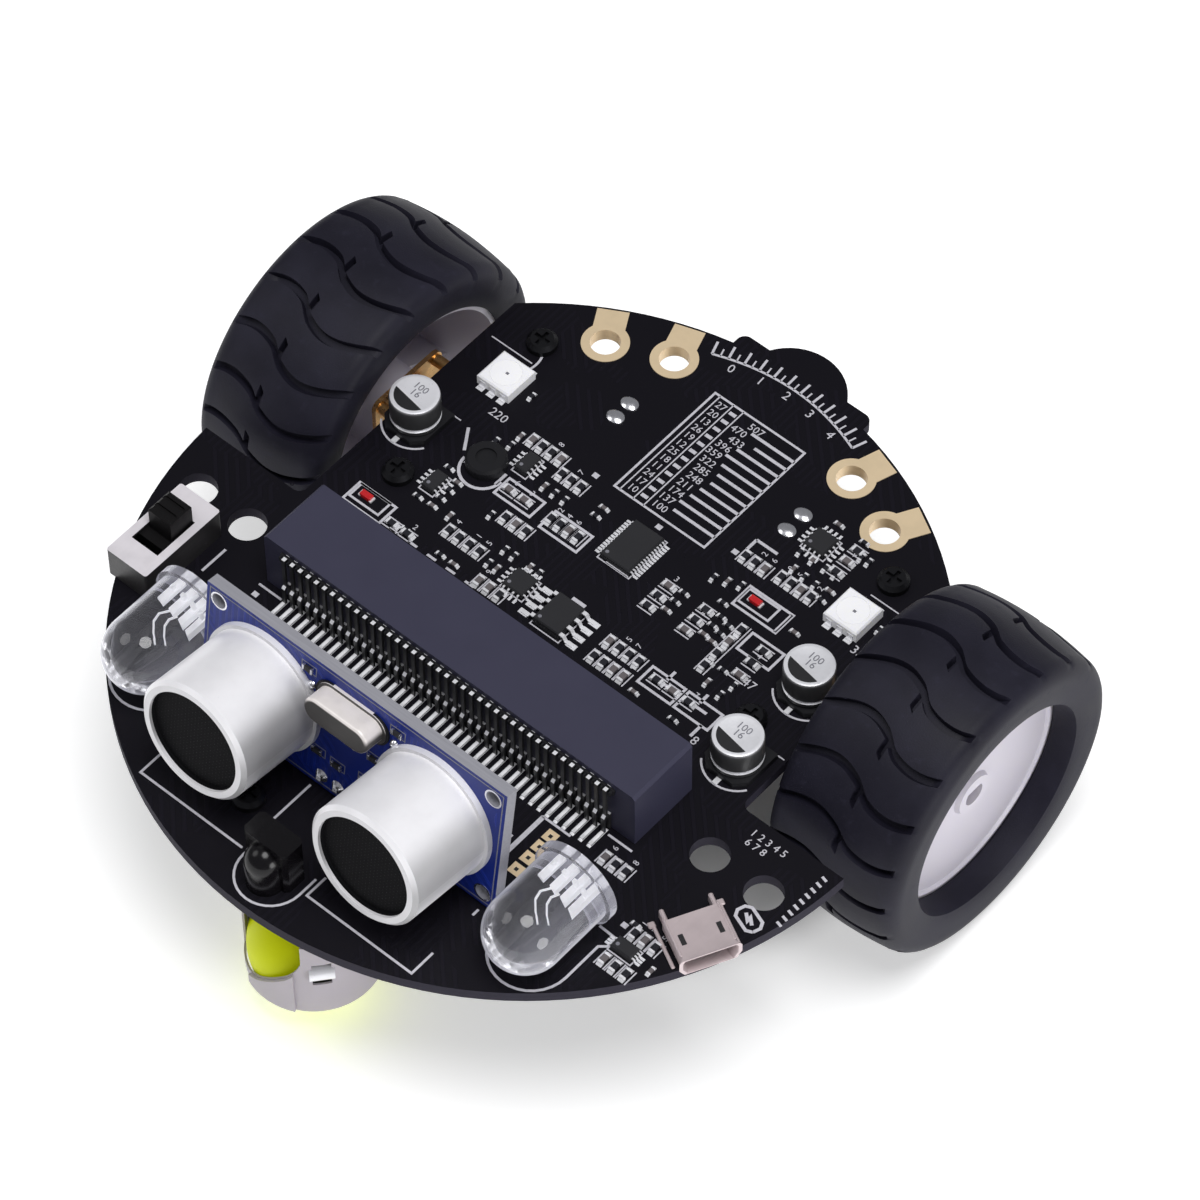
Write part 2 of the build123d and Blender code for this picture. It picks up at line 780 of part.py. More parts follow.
def usb_tongue():
    body = Pos(usb_wall - usb_depth / 2, 0, usb_height / 2 - tongue_height / 2) * Box(
        tongue_depth, tongue_width, tongue_height, align=(Align.MIN, Align.CENTER, Align.MIN))
    return usb_seat * body


# ---- Gearmotors: a right-hand one, modelled about the axle, and its mirror image ----
axle = Pos(0, axle_y, wheel_radius)
gearbox_inner_face = gearbox_outer_face - gearbox_length
motor_inner_face = gearbox_inner_face - motor_length
gear_module = 2 * gear_centres / (gear_teeth_big + gear_teeth_small)
first_stage = gearbox_inner_face + gear_plate + 2 * gear_play


def along_axle(x, sketch, length):
    """Extrudes a YZ sketch outwards from a distance x to the right of the middle."""
    return extrude(Plane.YZ.offset(x) * sketch, length)


def motor_section(shrink=0.0):
    return Circle(motor_width / 2 - shrink) & Rectangle(motor_width, motor_height - 2 * shrink)


def motor_can():
    can = along_axle(motor_inner_face, motor_section(), motor_length)
    bore = Circle(motor_shaft_radius + running_gap)
    can -= along_axle(gearbox_inner_face - bearing_length, bore, bearing_length)
    return axle * can


def motor_endcap():
    start = motor_inner_face - endcap_length
    cap = along_axle(start, motor_section(endcap_step), endcap_length)
    for side in (-1, 1):
        blade = Pos(side * terminal_half, 0) * Rectangle(terminal_thickness, terminal_width)
        cap += along_axle(start - terminal_length, blade, terminal_length + endcap_length / 2)
    return axle * cap


def gearbox_frame():
    """Two brass plates held apart by three posts, with the fixed pin of the gear train."""
    plate = RectangleRounded(motor_width, motor_height, gear_plate_corner)
    near = along_axle(gearbox_inner_face, plate - Circle(motor_shaft_radius + moving_gap), gear_plate)
    far = along_axle(gearbox_outer_face - gear_plate, plate - Circle(shaft_radius + running_gap), gear_plate)
    inside = gearbox_length - 2 * gear_plate
    start = gearbox_inner_face + gear_plate
    posts = Sketch() + [Pos(side * post_place[0], level * post_place[1]) * Circle(post_radius)
                        for side, level in ((1, 1), (-1, 1), (-1, -1))]
    frame = near + far + along_axle(start, posts, inside)
    return axle * (frame + along_axle(start, Pos(gear_centres, 0) * Circle(gear_pin_radius), inside))


def gear_sketch(teeth, phase):
    """Spur gear outline with its first tooth at an angle from +Y, in degrees."""
    pitch_radius = gear_module * teeth / 2
    tip = pitch_radius + tooth_tip * gear_module
    root = pitch_radius - tooth_root * gear_module
    flank = [(root, tooth_root_share), (tip, tooth_tip_share)]
    corners = [(radius, -share) for radius, share in flank] + flank[::-1]
    half = 180 / teeth
    points = []
    for k in range(teeth):
        middle = phase + 360 / teeth * k
        for radius, share in corners:
            angle = radians(middle + share * half)
            points.append((radius * cos(angle), radius * sin(angle)))
    return make_face(Polyline(*points, close=True))


half_tooth = 180 / gear_teeth_big


def cluster(stage, on_pin):
    """A large gear and a small one in one piece, running free on the pin or on the output spindle."""
    x = first_stage + stage * gear_stage
    turn = 180 if on_pin else 0
    bore = Circle(gear_pin_radius + running_gap)
    gear = along_axle(x, gear_sketch(gear_teeth_big, turn + half_tooth) - bore, gear_width)
    gear += along_axle(x + gear_width, gear_sketch(gear_teeth_small, turn) - bore, gear_stage)
    return axle * Pos(0, gear_centres if on_pin else 0, 0) * gear


def motor_pinion():
    start = first_stage - gear_play
    shaft_start = gearbox_inner_face - motor_shaft_seat
    shaft = along_axle(shaft_start, Circle(motor_shaft_radius), start - shaft_start)
    teeth = along_axle(start, gear_sketch(gear_teeth_small, 0), gear_stage - 2 * gear_play)
    return axle * (shaft + teeth)


def output_shaft():
    """Last gear, the spindle that carries the middle cluster, and the D-shaped output shaft."""
    x = first_stage + 3 * gear_stage
    gear = along_axle(x, gear_sketch(gear_teeth_big, half_tooth), gear_width)
    spindle_start = first_stage + gear_stage - gear_play
    spindle = along_axle(spindle_start, Circle(gear_pin_radius), x - spindle_start)
    shoulder = gearbox_outer_face + shaft_shoulder
    round_part = along_axle(x + gear_width, Circle(shaft_radius), shoulder - x - gear_width)
    d_section = Circle(shaft_radius) - Pos(0, shaft_flat) * Rectangle(
        2 * shaft_radius, shaft_radius, align=(Align.CENTER, Align.MIN))
    d_part = along_axle(shoulder, d_section, shaft_length - shaft_shoulder)
    return axle * (gear + spindle + round_part + d_part)


def motor_bracket():
    """Saddle round the motor with two ears screwed up to the board."""
    inside_w = motor_width + 2 * running_gap
    inside_h = motor_height + 2 * running_gap
    top = axle_drop
    bottom = -(inside_h / 2 + bracket_wall)
    ring = Pos(0, (top + bottom) / 2) * Rectangle(inside_w + 2 * bracket_wall, top - bottom)
    ears = Pos(0, top) * Rectangle(2 * bracket_reach, bracket_ear, align=(Align.CENTER, Align.MAX))
    flank = inside_w / 2 + bracket_wall
    gusset_top = top - bracket_ear
    gusset_low = gusset_top - bracket_gusset_height
    gusset = make_face(Polyline(
        (-flank - bracket_gusset_reach, gusset_top), (flank + bracket_gusset_reach, gusset_top),
        (flank, gusset_low), (-flank, gusset_low), close=True))
    section = ring + ears + gusset - Rectangle(inside_w, inside_h)
    saddle = along_axle(bracket_inner, section, bracket_length)
    for side in (-1, 1):
        saddle -= Pos(bracket_inner + bracket_length / 2, side * bracket_screw_half, 0) * Cylinder(
            screw_hole, 4 * axle_drop)
    uprights = saddle.edges().filter_by(Axis.Z)
    ear_corners = uprights.filter_by(lambda edge: abs(edge.center().Y) > bracket_reach - seat_gap)
    return axle * fillet(ear_corners, bracket_corner)


# ---- Wheels, modelled about the middle plane with +X outwards ----
def wheel_seat(side):
    turn = Rot(0, 0, 0) if side > 0 else Rot(0, 0, 180)
    return Pos(side * wheel_track / 2, axle_y, wheel_radius) * turn


def spin(points):
    """Turns an outline of (across, radius) points into a ring about the axle."""
    return revolve(make_face(Polyline(*points, close=True)), Axis.X)


def hub():
    """Cup-shaped wheel: a rim, a web near the outer side, a boss with a D bore and ribs."""
    rim_inside = hub_radius - hub_rim
    web_back = hub_face - hub_web
    bead = hub_face + hub_bead
    cap_face = hub_face + hub_cap_height
    body = spin([
        (-hub_inner_edge, rim_inside), (-hub_inner_edge, hub_radius), (bead, hub_radius),
        (bead, rim_inside + hub_bead_slope), (hub_face, rim_inside), (hub_face, hub_cap_radius),
        (cap_face, hub_cap_radius - hub_cap_slope), (cap_face, 0), (-hub_boss_end, 0),
        (-hub_boss_end, hub_boss_radius), (web_back, hub_boss_radius), (web_back, rim_inside)])
    rib = Pos(-hub_rib_inner, 0, hub_boss_radius - hub_rib_sink) * Box(
        web_back + hub_rib_inner, hub_rib, rim_inside - hub_boss_radius + 2 * hub_rib_sink,
        align=(Align.MIN, Align.CENTER, Align.MIN))
    for k in range(hub_ribs):
        body += Rot(k * 360 / hub_ribs, 0, 0) * rib
    bore = Circle(shaft_radius + seat_gap) - Pos(0, shaft_flat + seat_gap) * Rectangle(
        3 * shaft_radius, shaft_radius, align=(Align.CENTER, Align.MIN))
    return body - extrude(Plane.YZ.offset(-wheel_width) * bore, 2 * wheel_width)


def tyre():
    """Rubber tyre with rounded shoulders; its lips wrap over the rim on both sides."""
    half = wheel_width / 2
    seat = hub_radius + seat_gap
    outer_lip = hub_face + hub_bead + seat_gap
    inner_lip = hub_inner_edge + seat_gap
    edge = wheel_radius - tyre_crown
    low = edge - tyre_shoulder
    start = (-half + tyre_shoulder, edge)
    tread = ThreePointArc(start, (0, wheel_radius), (half - tyre_shoulder, edge))
    shoulder_out = RadiusArc(tread @ 1, (half, low), tyre_shoulder)
    lip_radius = seat - tyre_lip
    outside = Polyline(
        (half, low), (half - sidewall_dish / 2, tyre_opening + sidewall_edge),
        (half - sidewall_dish, tyre_opening), (outer_lip, tyre_opening), (outer_lip, seat),
        (-inner_lip, seat), (-inner_lip, lip_radius), (-half + tyre_lip_inset, lip_radius), (-half, low))
    shoulder_in = RadiusArc((-half, low), start, tyre_shoulder)
    ring = revolve(make_face([tread, shoulder_out, outside, shoulder_in]), Axis.X)
    return ring - tread_cuts()


def tread_cuts():
    """Wavy grooves across the tread, cut square to the surface."""
    end = wheel_width / 2 + tread_depth
    centre = [(-end, -tread_end_sweep), (-tread_inner_bend * wheel_width, tread_sweep),
              (tread_outer_bend * wheel_width, -tread_sweep), (end, tread_end_sweep)]
    front = [(x, y + tread_width / 2) for x, y in centre]
    back = [(x, y - tread_width / 2) for x, y in reversed(centre)]
    groove = extrude(make_face(Polyline(*front, *back, close=True)), 2 * tread_depth)
    groove = Pos(0, 0, wheel_radius - tread_depth) * groove
    return Compound(children=[Rot(k * 360 / tread_grooves, 0, 0) * groove for k in range(tread_grooves)])


# ---- Ball caster, modelled on the floor under its own centre ----
caster_seat = Pos(0, axle_y - caster_ahead, 0)
cage_top = 2 * ball_radius + ball_gap + cage_roof
roller_reach = (ball_radius + roller_radius + running_gap) * cos(radians(roller_lift))
roller_height = ball_radius + (ball_radius + roller_radius + running_gap) * sin(radians(roller_lift))


def arm_angles():
    return [arm_turn - 90 + k * 360 / arm_count for k in range(arm_count)]


def caster_housing():
    """Cage that holds the ball: a lower ring, three arms with roller pockets, a neck and a flange."""
    profile = make_face(Polyline(
        (0, cage_bottom), (cage_radius - cage_foot, cage_bottom), (cage_radius, cage_bottom + cage_taper),
        (cage_radius, cage_top - cage_edge), (cage_radius - cage_edge, cage_top), (0, cage_top), close=True))
    cage = revolve(Plane.XZ * profile, Axis.Z)
    window_height = 2 * (cage_top - cage_window_floor)
    window_width = 2 * cage_radius * sin(radians(180 / arm_count)) - arm_width - 2 * cage_window_margin
    window = extrude(RectangleRounded(window_width, window_height, cage_window_corner), 2 * cage_radius)
    window = Pos(0, 0, cage_window_floor + window_height / 2) * Rot(0, 90, 0) * Rot(0, 0, 90) * window
    for angle in arm_angles():
        cage -= Rot(0, 0, angle + 180 / arm_count) * window
    cage += Pos(0, 0, cage_window_floor) * disc(neck_radius, cage_top - cage_window_floor)
    shape = disc(arm_radius, cage_top - cage_bottom - cage_taper)
    arm_box = Box(2 * arm_radius, arm_width, 4 * cage_top, align=(Align.MIN, Align.CENTER, Align.CENTER))
    for angle in arm_angles():
        cage += Pos(0, 0, cage_bottom + cage_taper) * (shape & (Rot(0, 0, angle) * arm_box))
    cage -= Pos(0, 0, ball_radius) * Sphere(ball_radius + ball_gap)
    pocket_height = 2 * (roller_radius + roller_gap + roller_pocket_margin)
    for angle in arm_angles():
        pocket = Pos(roller_reach, 0, roller_height) * Box(
            4 * roller_radius, roller_length + 2 * roller_gap, pocket_height)
        cage -= Rot(0, 0, angle) * pocket
    neck = Pos(0, 0, cage_top) * disc(neck_radius, board_underside - cage_top)
    outline = SlotOverall(caster_flange_length, caster_flange_width)
    for side in (-1, 1):
        outline -= Pos(side * caster_screw_half, 0) * Circle(screw_hole)
    flange = Pos(0, 0, board_underside - caster_flange) * extrude(outline, caster_flange)
    return caster_seat * (cage + neck + flange)


def caster_ball():
    return caster_seat * Pos(0, 0, ball_radius) * Sphere(ball_radius)


def caster_roller(angle):
    roller = Rot(90, 0, 0) * Cylinder(roller_radius, roller_length)
    return caster_seat * Rot(0, 0, angle) * Pos(roller_reach, 0, roller_height) * roller


# ---- Battery cell and its holder, open downwards ----
cell_drop = holder_floor + running_gap + cell_radius
holder_inside = cell_length + cell_button + holder_slack
holder_width = 2 * (cell_radius + running_gap + holder_wall)
holder_length = holder_inside + 2 * holder_end


def battery_holder():
    floor = Pos(0, 0, -holder_floor) * block(holder_length, holder_width, holder_floor)
    for side in (-1, 1):
        floor += Pos(side * (holder_inside + holder_end) / 2, 0, -holder_drop) * block(
            holder_end, holder_width, holder_drop)
        floor += Pos(0, side * (holder_width - holder_wall) / 2, -holder_side_drop) * block(
            holder_length, holder_wall, holder_side_drop)
    return below(0, holder_ahead) * floor


def battery_cell():
    body = Rot(0, 90, 0) * Cylinder(cell_radius, cell_length)
    body = chamfer(body.edges(), cell_edge)
    button = Pos(cell_length / 2, 0, 0) * Rot(0, 90, 0) * disc(cell_button_radius, cell_button)
    return below(-cell_button / 2, holder_ahead, cell_drop) * (body + button)


def battery_contacts():
    """Bowed leaf springs that press on the two ends of the cell."""
    wall = holder_inside / 2 - leaf / 2
    crown = (holder_inside - holder_slack) / 2 + leaf / 2
    leaves = []
    for side in (-1, 1):
        half = [(wall, leaf_foot_half), (wall, leaf_bow_half), (crown, leaf_flat_half)]
        path = half + [(reach, -level) for reach, level in reversed(half)]
        leaves.append(Rot(0, 0, -90 * side) * strip(path, leaf, leaf_width))
    return [below(0, holder_ahead, cell_drop) * piece for piece in leaves]


# ---- Line sensors on their own small board, held low on two standoffs ----
sensor_board_top = sensor_board_height + board_thickness


def line_sensor_board():
    outline = RectangleRounded(sensor_board_length, sensor_board_width, sensor_board_corner)
    for side in (-1, 1):
        outline -= Pos(side * standoff_half, 0) * Circle(screw_hole)
    return Pos(0, axle_y - sensor_board_ahead, sensor_board_height) * extrude(outline, board_thickness)


def line_sensor(side):
    body = block(sensor_length, sensor_width, sensor_drop)
    body = chamfer(body.edges().filter_by(Axis.Z), sensor_corner)
    for end in (-1, 1):
        body -= Pos(end * sensor_eye_half, 0, 0) * disc(sensor_eye, sensor_eye_depth)
    return Pos(side * sensor_half, axle_y - sensor_board_ahead, sensor_board_height - sensor_drop) * body


def standoff(x, ahead):
    height = board_underside - sensor_board_top
    post = extrude(hexagon(standoff_flats), height)
    return Pos(x, axle_y - ahead, sensor_board_top) * post


# ---- Screws and nuts ----
def screw(length):
    """Pan-head screw with a cross recess, its head standing on z = 0."""
    head = disc(screw_head_radius, screw_head_height)
    head = chamfer(head.edges().group_by(Axis.Z)[-1], screw_head_edge)
    cross = Box(screw_recess_length, screw_recess_width, 2 * screw_recess)
    recess = Pos(0, 0, screw_head_height) * (cross + Rot(0, 0, 90) * cross)
    return head + Pos(0, 0, -length) * disc(screw_radius, length) - recess


bracket_screw = board_thickness + bracket_ear + nut_thickness + screw_end
caster_screw = board_thickness + caster_flange + nut_thickness + screw_end
standoff_screw = board_thickness + standoff_thread


def board_screws():
    screws = [at(x, ahead) * screw(bracket_screw) for x, ahead in screw_places]
    screws += [at(x, ahead) * screw(caster_screw) for x, ahead in caster_screws]
    screws += [at(x, ahead) * screw(standoff_screw) for x, ahead in standoff_places]
    screws += [Pos(x, axle_y - ahead, sensor_board_height) * Rot(180, 0, 0) * screw(standoff_screw)
               for x, ahead in standoff_places]
    return screws


def board_nuts():
    nut = extrude(hexagon(nut_flats), nut_thickness)
    nuts = [below(x, ahead, bracket_ear + nut_thickness) * nut for x, ahead in screw_places]
    return nuts + [below(x, ahead, caster_flange + nut_thickness) * nut for x, ahead in caster_screws]


# ---- Write every piece ----
os.makedirs("parts", exist_ok=True)

save("main_board", main_board())
save("ring_pads", *[ring_pad(x, ahead) for x, ahead in mirrored_rings])
save("edge_connector_housing", connector_housing())
save("upper_contacts", *upper_contacts())
save("lower_contacts", *lower_contacts())
save("sonar_board", sonar_board())
save("left_transducer_can", transducer_can(-1))
save("right_transducer_can", transducer_can(1))
save("transducer_meshes", transducer_mesh(-1), transducer_mesh(1))
save("sonar_crystal", crystal())
save("sonar_header", sonar_header())
save("sonar_pins", *sonar_pins())
for name, lens in zip(("right", "left"), both_sides(lamp_lens())):
    save(f"{name}_searchlight_lens", lens)
save("searchlight_leads", *[piece for lead in lamp_lead_group() for piece in both_sides(lead)])
save("rgb_leds", *both_sides(rgb_led()))
save("capacitor_bases", *[capacitor_foot(x, ahead) for x, ahead in capacitor_places])
save("capacitor_cans", *[capacitor_can(x, ahead) for x, ahead in capacitor_places])
save("ir_receiver", ir_receiver())
save("microphone", microphone())
save("indicator_leds", *[indicator(x, ahead) for x, ahead in indicator_places])
save("ic_packages", *ic_packages())
save("chip_parts", *chip_parts())
save("buzzer", buzzer())
save("switch_base", switch_base())
save("switch_shell", switch_shell())
save("switch_lever", switch_lever())
save("usb_shell", usb_shell())
save("usb_tongue", usb_tongue())
save("motor_cans", *both_sides(motor_can()))
save("motor_endcaps", *both_sides(motor_endcap()))
save("gearbox_frames", *both_sides(gearbox_frame()))
save("motor_brackets", *both_sides(motor_bracket()))
turning = {
    "motor_pinion": motor_pinion(),
    "gear_a": cluster(0, True),
    "gear_b": cluster(1, False),
    "gear_c": cluster(2, True),
    "output_shaft": output_shaft(),
}
for name, piece in turning.items():
    right, left = both_sides(piece)
    save(f"right_{name}", right)
    save(f"left_{name}", left)
for name, side in (("left", -1), ("right", 1)):
    save(f"{name}_hub", wheel_seat(side) * hub())
    save(f"{name}_tyre", wheel_seat(side) * tyre())
save("caster_housing", caster_housing())
save("caster_ball", caster_ball())
for name, angle in zip(("right", "rear", "left"), arm_angles()):
    save(f"caster_roller_{name}", caster_roller(angle))
save("battery_holder", battery_holder())
save("battery_cell", battery_cell())
save("battery_contacts", *battery_contacts())
save("line_sensor_board", line_sensor_board())
save("line_sensors", line_sensor(-1), line_sensor(1))
save("sensor_standoffs", *[standoff(x, ahead) for x, ahead in standoff_places])
save("board_screws", *board_screws())
save("board_nuts", *board_nuts())
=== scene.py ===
"""Line follower robot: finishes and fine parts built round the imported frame.

Lengths are in millimetres, and a mesh is brought to metres when it becomes a piece. A place on the main
board is given as (right, ahead, height): ahead is measured forwards from the wheel axle.
"""
import json
import logging
from collections.abc import Callable, Iterable, Iterator, Sequence
from dataclasses import dataclass
from enum import Enum
from math import cos, degrees, pi, radians, sin, sqrt

import bmesh
import bpy
from mathutils import Matrix, Quaternion, Vector

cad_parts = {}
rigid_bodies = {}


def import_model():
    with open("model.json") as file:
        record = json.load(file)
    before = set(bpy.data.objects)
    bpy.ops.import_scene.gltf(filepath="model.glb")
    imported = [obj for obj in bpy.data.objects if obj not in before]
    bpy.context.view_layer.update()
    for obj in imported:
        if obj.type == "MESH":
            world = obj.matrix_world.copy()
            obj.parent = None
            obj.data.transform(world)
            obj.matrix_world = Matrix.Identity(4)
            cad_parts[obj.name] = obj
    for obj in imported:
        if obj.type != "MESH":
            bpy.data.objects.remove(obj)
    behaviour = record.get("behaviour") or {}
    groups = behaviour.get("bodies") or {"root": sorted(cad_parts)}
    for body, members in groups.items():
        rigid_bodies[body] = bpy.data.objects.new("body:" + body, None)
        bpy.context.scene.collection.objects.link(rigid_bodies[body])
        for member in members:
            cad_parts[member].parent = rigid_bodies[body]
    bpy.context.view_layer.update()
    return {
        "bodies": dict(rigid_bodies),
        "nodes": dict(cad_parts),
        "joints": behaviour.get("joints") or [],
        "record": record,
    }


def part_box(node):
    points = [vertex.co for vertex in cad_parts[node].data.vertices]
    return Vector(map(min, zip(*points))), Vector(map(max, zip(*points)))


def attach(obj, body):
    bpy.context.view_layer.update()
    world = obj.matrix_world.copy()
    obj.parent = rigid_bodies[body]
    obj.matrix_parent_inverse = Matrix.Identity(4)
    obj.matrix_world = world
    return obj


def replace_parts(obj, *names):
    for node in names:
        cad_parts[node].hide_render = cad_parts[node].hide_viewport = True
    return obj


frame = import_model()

log = logging.getLogger("robot")

MM = 0.001
CHASSIS = "chassis"
Colour = tuple[float, float, float]
Point = Sequence[float]
Flat = tuple[float, float]
Block = tuple[Colour, Colour, float]
Sockets = dict[str | int, object]
Mesh, Object = bpy.types.Mesh, bpy.types.Object


# --- nodes
class Value:
    """An output socket that takes part in Python expressions; each operator adds a Math node."""

    def __init__(self, graph: "NodeGraph", socket: bpy.types.NodeSocket | None) -> None:
        """Keeps the graph that the socket belongs to."""
        self.graph = graph
        self.socket = socket

    def math(self, operation: str, *others: "Value | float") -> "Value":
        """Adds one Math node, with this value as its first operand."""
        return self.graph.node("ShaderNodeMath", {"operation": operation}, dict(enumerate((self, *others))))

    def __add__(self, other: "Value | float") -> "Value":
        """Adds."""
        return self.math("ADD", other)

    def __sub__(self, other: "Value | float") -> "Value":
        """Subtracts."""
        return self.math("SUBTRACT", other)

    def __rsub__(self, other: float) -> "Value":
        """Subtracts this value from a number."""
        return self.graph.node("ShaderNodeMath", {"operation": "SUBTRACT"}, {0: other, 1: self})

    def __mul__(self, other: "Value | float") -> "Value":
        """Multiplies."""
        return self.math("MULTIPLY", other)

    def __truediv__(self, other: "Value | float") -> "Value":
        """Divides."""
        return self.math("DIVIDE", other)

    def __gt__(self, other: "Value | float") -> "Value":
        """Gives 1 where this is the greater, and 0 elsewhere."""
        return self.math("GREATER_THAN", other)

    def __lt__(self, other: "Value | float") -> "Value":
        """Gives 1 where this is the smaller, and 0 elsewhere."""
        return self.math("LESS_THAN", other)

    __radd__ = __add__
    __rmul__ = __mul__

    def step(self, low: float, high: float) -> "Value":
        """A smooth step from 0 at low to 1 at high."""
        return self.graph.node("ShaderNodeMapRange", {"interpolation_type": "SMOOTHSTEP"},
                               {"Value": self, "From Min": low, "From Max": high})


class NodeGraph:
    """A node tree under construction."""

    def __init__(self, tree: bpy.types.NodeTree) -> None:
        """Keeps the tree that nodes are added to."""
        self.tree = tree

    def node(self, kind: str, settings: dict[str, object] | None = None,
             inputs: Sockets | None = None, output: str | int | None = 0) -> Value:
        """Adds a node.

        Args:
            kind: the node's type.
            settings: its properties, such as an operation, which are set first.
            inputs: values or links for its sockets, by name or place.
            output: the output that is wanted, by name or place; None for a node that has none.

        Returns:
            The wanted output.
        """
        made = self.tree.nodes.new(kind)
        for name, value in (settings or {}).items():
            setattr(made, name, value)
        for key, value in (inputs or {}).items():
            if isinstance(value, Value):
                self.tree.links.new(value.socket, made.inputs[key])
            else:
                made.inputs[key].default_value = value
        return Value(self, None if output is None else made.outputs[output])

    def vector(self, operation: str, first: object, second: object = None, output: str | int = 0) -> Value:
        """Adds one Vector Math node, with an output that can be a vector or a number."""
        operands = {0: first} if second is None else {0: first, 1: second}
        return self.node("ShaderNodeVectorMath", {"operation": operation}, operands, output)

    def part(self, axis: str, place: Value) -> Value:
        """One of a vector's three parts."""
        return self.node("ShaderNodeSeparateXYZ", {}, {0: place}, axis)


class Lay(Enum):
    """Which way a finish's fine marks run: the pattern's scale along each axis."""

    EVEN = (1.0, 1.0, 1.0)
    ACROSS = (0.05, 1.0, 1.0)
    AHEAD = (1.0, 0.05, 1.0)
    UPRIGHT = (1.0, 1.0, 0.05)


class Surface(NodeGraph):
    """A material's tree, with the patterns that finishes share. Pattern sizes are in millimetres."""

    def __init__(self, material: bpy.types.Material) -> None:
        """Empties the material's tree and adds coordinates in millimetres.

        Args:
            material: the material, which has nodes.
        """
        super().__init__(material.node_tree)
        self.tree.nodes.clear()
        place = self.node("ShaderNodeTexCoord", output="Object")
        self.place = self.node("ShaderNodeVectorMath", {"operation": "SCALE"}, {0: place, "Scale": 1 / MM})

    def noise(self, size: float, detail: float = 3.0, lay: Lay = Lay.EVEN) -> Value:
        """Cloudy noise from 0 to 1.

        Args:
            size: length of one spot.
            detail: how many finer layers it has.
            lay: which way it is drawn out.

        Returns:
            The noise.
        """
        where = self.place
        if lay is not Lay.EVEN:
            where = self.node("ShaderNodeMapping", {}, {"Vector": where, "Scale": lay.value})
        return self.node("ShaderNodeTexNoise", {}, {"Vector": where, "Scale": 1 / size, "Detail": detail}, "Fac")

    def mix(self, share: "Value | float", first: "Value | Colour", second: "Value | Colour") -> Value:
        """Mixes two colours: the first at share 0, and the second at share 1."""
        ends = {key: end if isinstance(end, Value) else (*end, 1.0) for key, end in ((6, first), (7, second))}
        return self.node("ShaderNodeMix", {"data_type": "RGBA"}, {0: share, **ends}, 2)

    def bump(self, height: Value, depth: float, below: Value | None = None) -> Value:
        """A relief.

        Args:
            height: the relief, from 0 to 1.
            depth: its depth.
            below: a relief that this one lies on.

        Returns:
            The bent normal.
        """
        inputs = {"Height": height, "Distance": depth * MM, "Strength": 1.0}
        if below is not None:
            inputs["Normal"] = below
        return self.node("ShaderNodeBump", {}, inputs)

    def facing(self, axis: Colour) -> Value:
        """How squarely a face looks along an axis, either way: 1 if it does, 0 if it is edge on."""
        normal = self.node("ShaderNodeNewGeometry", output="Normal")
        return self.vector("DOT_PRODUCT", normal, axis, "Value").math("ABSOLUTE")

    def shader(self, **sockets: object) -> Value:
        """Adds a principled shader. Keywords name its sockets, with _ for a space.

        Args:
            sockets: values or links for the shader's sockets.

        Returns:
            The shader.
        """
        inputs: Sockets = {}
        for key, value in sockets.items():
            plain_colour = isinstance(value, tuple) and len(value) == 3 and not key.endswith("Radius")
            inputs[key.replace("_", " ")] = (*value, 1.0) if plain_colour else value
        return self.node("ShaderNodeBsdfPrincipled", {}, inputs)

    def close(self, shader: Value | None = None, **sockets: object) -> None:
        """Ends the material with a shader, or with a principled one that has these sockets."""
        self.node("ShaderNodeOutputMaterial", {}, {"Surface": shader or self.shader(**sockets)}, None)


# --- finishes
@dataclass(frozen=True)
class Finish:
    """A named surface finish. Its material is made on first use and then shared."""

    name: str
    colour: Colour
    roughness: float = 0.5
    specular: float = 0.5

    def material(self) -> bpy.types.Material:
        """Gives the finish's material.

        Returns:
            The material, made on the first call and shared afterwards.
        """
        known = bpy.data.materials.get(self.name)
        if known is not None and known.get("finish"):
            return known
        made = bpy.data.materials.new(self.name)
        made.use_nodes = True
        made["finish"] = True
        made.diffuse_color = (*self.colour, 1.0)
        self.paint(Surface(made))
        return made

    def paint(self, surface: Surface) -> None:
        """Builds the finish's nodes."""
        raise NotImplementedError

    def shade(self, factor: float) -> Colour:
        """The finish's colour made lighter or darker."""
        return tuple(min(1.0, part * factor) for part in self.colour)


@dataclass(frozen=True)
class Moulded(Finish):
    """Moulded plastic: a fine spark-eroded grain, faint flow marks and a soft change of gloss."""

    grain: float = 0.12
    depth: float = 0.006
    mottle: float = 0.12
    gloss_play: float = 0.12
    glow: float = 0.0
    # emission of the plastic's own colour: painted light on parts that are no lamps
    painted_glow: float = 0.0

    def paint(self, surface: Surface) -> None:
        """Builds the grain, the flow marks and the change of gloss.

        Args:
            surface: the material's tree, empty but for its coordinates.
        """
        flow = surface.noise(6.0, 2.0)
        grain = surface.noise(self.grain, 2.0)
        colour = surface.mix(flow, self.shade(1 - self.mottle), self.shade(1 + self.mottle))
        colour = surface.mix(grain * 0.25, colour, self.shade(1 + 2 * self.mottle))
        roughness = self.roughness + (flow - 0.5) * self.gloss_play + (grain - 0.5) * self.gloss_play
        # The emission is painted light that brightens parts which the lamps leave dark.
        surface.close(Base_Color=colour, Roughness=roughness, Normal=surface.bump(grain, self.depth),
                      Specular_IOR_Level=self.specular, Subsurface_Weight=self.glow,
                      Subsurface_Radius=(1.0, 1.0, 0.4), Subsurface_Scale=2 * MM,
                      Emission_Color=self.colour, Emission_Strength=self.painted_glow)


